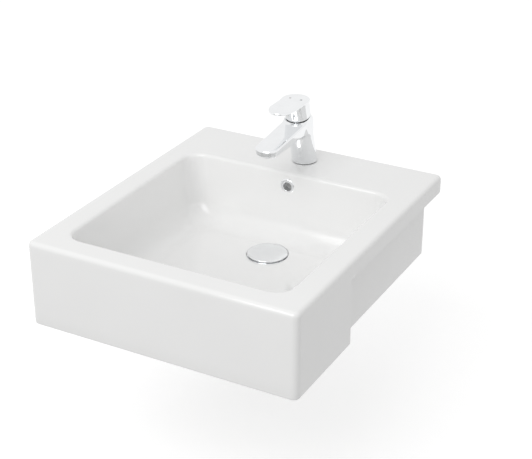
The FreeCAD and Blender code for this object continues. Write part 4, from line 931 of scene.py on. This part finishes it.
def make_studio(look):
    """Floor, soft lamps, even surroundings and the camera."""
    studio = look.studio
    scene = bpy.context.scene
    scene.view_settings.view_transform = "Standard"
    world = bpy.data.worlds.new("surroundings")
    scene.world = world
    world.use_nodes = True
    tree = world.node_tree
    tree.nodes.clear()
    dim = tree.nodes.new("ShaderNodeBackground")
    dim.inputs["Strength"].default_value = studio.surroundings
    white = tree.nodes.new("ShaderNodeBackground")
    white.inputs["Strength"].default_value = 1.0
    for node in (dim, white):
        node.inputs["Color"].default_value = (1, 1, 1, 1)
    output = tree.nodes.new("ShaderNodeOutputWorld")
    tree.links.new(white_to_view(tree, dim.outputs[0], white.outputs[0]),
                   output.inputs["Surface"])
    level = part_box("waste_body")[0][2] - studio.floor_drop
    bpy.ops.mesh.primitive_plane_add(size=FLOOR_SIZE, location=(0, 0, level))
    floor = bpy.context.object
    floor.name = "studio_floor"
    floor.data.materials.append(floor_finish())
    add_lamp("key", KEY_PLACE, KEY_SIZE, studio.key)
    add_lamp("top", TOP_PLACE, TOP_SIZE, studio.top)
    lens = bpy.data.cameras.new("view")
    lens.lens = CAMERA_LENS
    lens.sensor_width = CAMERA_SENSOR
    camera = bpy.data.objects.new("view", lens)
    camera.location = CAMERA_PLACE
    camera.rotation_euler = Vector(CAMERA_AIM).to_track_quat("-Z", "Y").to_euler()
    scene.collection.objects.link(camera)
    scene.camera = camera


def floor_finish():
    """Pale matt floor that shows as white where no shadow falls on it."""
    material = bpy.data.materials.new("studio_floor")
    material.use_nodes = True
    tree = material.node_tree
    tree.nodes.clear()
    matt = tree.nodes.new("ShaderNodeBsdfDiffuse")
    dim = tree.nodes.new("ShaderNodeBsdfDiffuse")
    for node, grey in ((matt, FLOOR_GREY), (dim, FLOOR_UNSEEN)):
        node.inputs["Color"].default_value = (grey, grey, grey, 1)
    glow = tree.nodes.new("ShaderNodeEmission")
    glow.inputs["Strength"].default_value = FLOOR_GLOW
    bright = tree.nodes.new("ShaderNodeAddShader")
    tree.links.new(matt.outputs[0], bright.inputs[0])
    tree.links.new(glow.outputs[0], bright.inputs[1])
    output = tree.nodes.new("ShaderNodeOutputMaterial")
    tree.links.new(white_to_view(tree, dim.outputs[0], bright.outputs[0]),
                   output.inputs["Surface"])
    return material


# ----------------------------------------
# Settings, operators and panel
# ----------------------------------------
class BasinSizes(PropertyGroup):
    """Roundings that shape the look of the casting and the tap."""
    lip: FloatProperty(name="Bowl lip", description="Rounding from the rim into the bowl",
                       default=0.006, unit="LENGTH")
    rim_edge: FloatProperty(name="Rim edge", description="Rounding of the rim's outer edge",
                            default=0.008, unit="LENGTH")
    spout_fillet: FloatProperty(name="Spout fillet",
                                description="Hollow rounding between tap body and spout",
                                default=0.009, unit="LENGTH")
    spout_edge: FloatProperty(name="Spout edge", description="Rounding of the spout's edges",
                              default=0.0035, unit="LENGTH")
    lever_fillet: FloatProperty(name="Lever fillet",
                                description="Hollow rounding between lever plate and skirt",
                                default=0.004, unit="LENGTH")
    lever_edge: FloatProperty(name="Lever edge", description="Rounding of the lever plate",
                              default=0.0014, unit="LENGTH")


class BasinFinish(PropertyGroup):
    """Colours and gloss of the ceramic and the metal."""
    glaze: FloatVectorProperty(name="Glaze", description="Colour of the glaze",
                               default=(0.91, 0.91, 0.905), subtype="COLOR", min=0, max=1)
    gloss: FloatProperty(name="Glaze roughness", description="Roughness of the glaze",
                         default=0.1, min=0, max=1, subtype="FACTOR")
    waves: FloatProperty(name="Glaze waves", description="Depth of the glaze's long waves",
                         default=0.0005, unit="LENGTH", precision=5)
    chrome: FloatVectorProperty(name="Chrome", description="Colour of the chrome",
                                default=(0.86, 0.87, 0.88), subtype="COLOR", min=0, max=1)


class BasinStudio(PropertyGroup):
    """Light and floor of the studio."""
    surroundings: FloatProperty(name="Surroundings", default=0.7, min=0,
                                description="Even light from all sides")
    key: FloatProperty(name="Key lamp", default=50.0, min=0, unit="POWER",
                       description="Soft lamp in front, above and to the left")
    top: FloatProperty(name="Top lamp", default=0.6, min=0, unit="POWER",
                       description="Lamp above the tap deck")
    floor_drop: FloatProperty(name="Floor drop", default=0.25, min=0, unit="LENGTH",
                              description="Floor below the waste's outlet")


class BasinLook(PropertyGroup):
    """All settings of the basin's looks."""
    sizes: PointerProperty(type=BasinSizes)
    finish: PointerProperty(type=BasinFinish)
    studio: PointerProperty(type=BasinStudio)


class BASIN_OT_casting(Operator):
    """Build the glazed casting"""
    bl_idname = "basin.casting"
    bl_label = "Glazed casting"

    def execute(self, context):
        make_casting(context.scene.basin_look)
        return {"FINISHED"}


class BASIN_OT_overflow_ring(Operator):
    """Build the overflow ring"""
    bl_idname = "basin.overflow_ring"
    bl_label = "Overflow ring"

    def execute(self, context):
        make_overflow_ring(context.scene.basin_look)
        return {"FINISHED"}


class BASIN_OT_waste_cap(Operator):
    """Build the waste cap"""
    bl_idname = "basin.waste_cap"
    bl_label = "Waste cap"

    def execute(self, context):
        make_waste_cap(context.scene.basin_look)
        return {"FINISHED"}


class BASIN_OT_tap_body(Operator):
    """Build the tap body and spout"""
    bl_idname = "basin.tap_body"
    bl_label = "Tap body and spout"

    def execute(self, context):
        make_tap_body(context.scene.basin_look)
        return {"FINISHED"}


class BASIN_OT_lever(Operator):
    """Build the lever"""
    bl_idname = "basin.lever"
    bl_label = "Lever"

    def execute(self, context):
        make_lever(context.scene.basin_look)
        return {"FINISHED"}


class BASIN_OT_fittings(Operator):
    """Finish the seals, the cartridge and all other fittings"""
    bl_idname = "basin.fittings"
    bl_label = "Fittings"

    def execute(self, context):
        finish_fittings(context.scene.basin_look)
        return {"FINISHED"}


class BASIN_OT_studio(Operator):
    """Set up floor, light and camera"""
    bl_idname = "basin.studio"
    bl_label = "Studio"

    def execute(self, context):
        make_studio(context.scene.basin_look)
        return {"FINISHED"}


class BASIN_PT_panel(Panel):
    """The basin's settings and steps"""
    bl_idname = "BASIN_PT_panel"
    bl_label = "Basin"
    bl_space_type = "VIEW_3D"
    bl_region_type = "UI"
    bl_category = "Basin"

    def draw(self, context):
        look = context.scene.basin_look
        for group in (look.sizes, look.finish, look.studio):
            box = self.layout.box()
            for name in group.__annotations__:
                box.prop(group, name)
        for step in STEPS:
            self.layout.operator(step.bl_idname)


STEPS = (BASIN_OT_casting, BASIN_OT_overflow_ring, BASIN_OT_waste_cap, BASIN_OT_tap_body,
         BASIN_OT_lever, BASIN_OT_fittings, BASIN_OT_studio)
CLASSES = (BasinSizes, BasinFinish, BasinStudio, BasinLook, *STEPS, BASIN_PT_panel)


def register():
    """Register the classes and hang the settings on the scene."""
    for item in CLASSES:
        bpy.utils.register_class(item)
    bpy.types.Scene.basin_look = PointerProperty(type=BasinLook)


def unregister():
    """Take the settings and the classes away again."""
    del bpy.types.Scene.basin_look
    for item in reversed(CLASSES):
        bpy.utils.unregister_class(item)


def main():
    """Build all pieces in order."""
    register()
    bpy.ops.basin.casting()
    bpy.ops.basin.overflow_ring()
    bpy.ops.basin.waste_cap()
    bpy.ops.basin.tap_body()
    bpy.ops.basin.lever()
    bpy.ops.basin.fittings()
    bpy.ops.basin.studio()


if __name__ == "__main__":
    main()
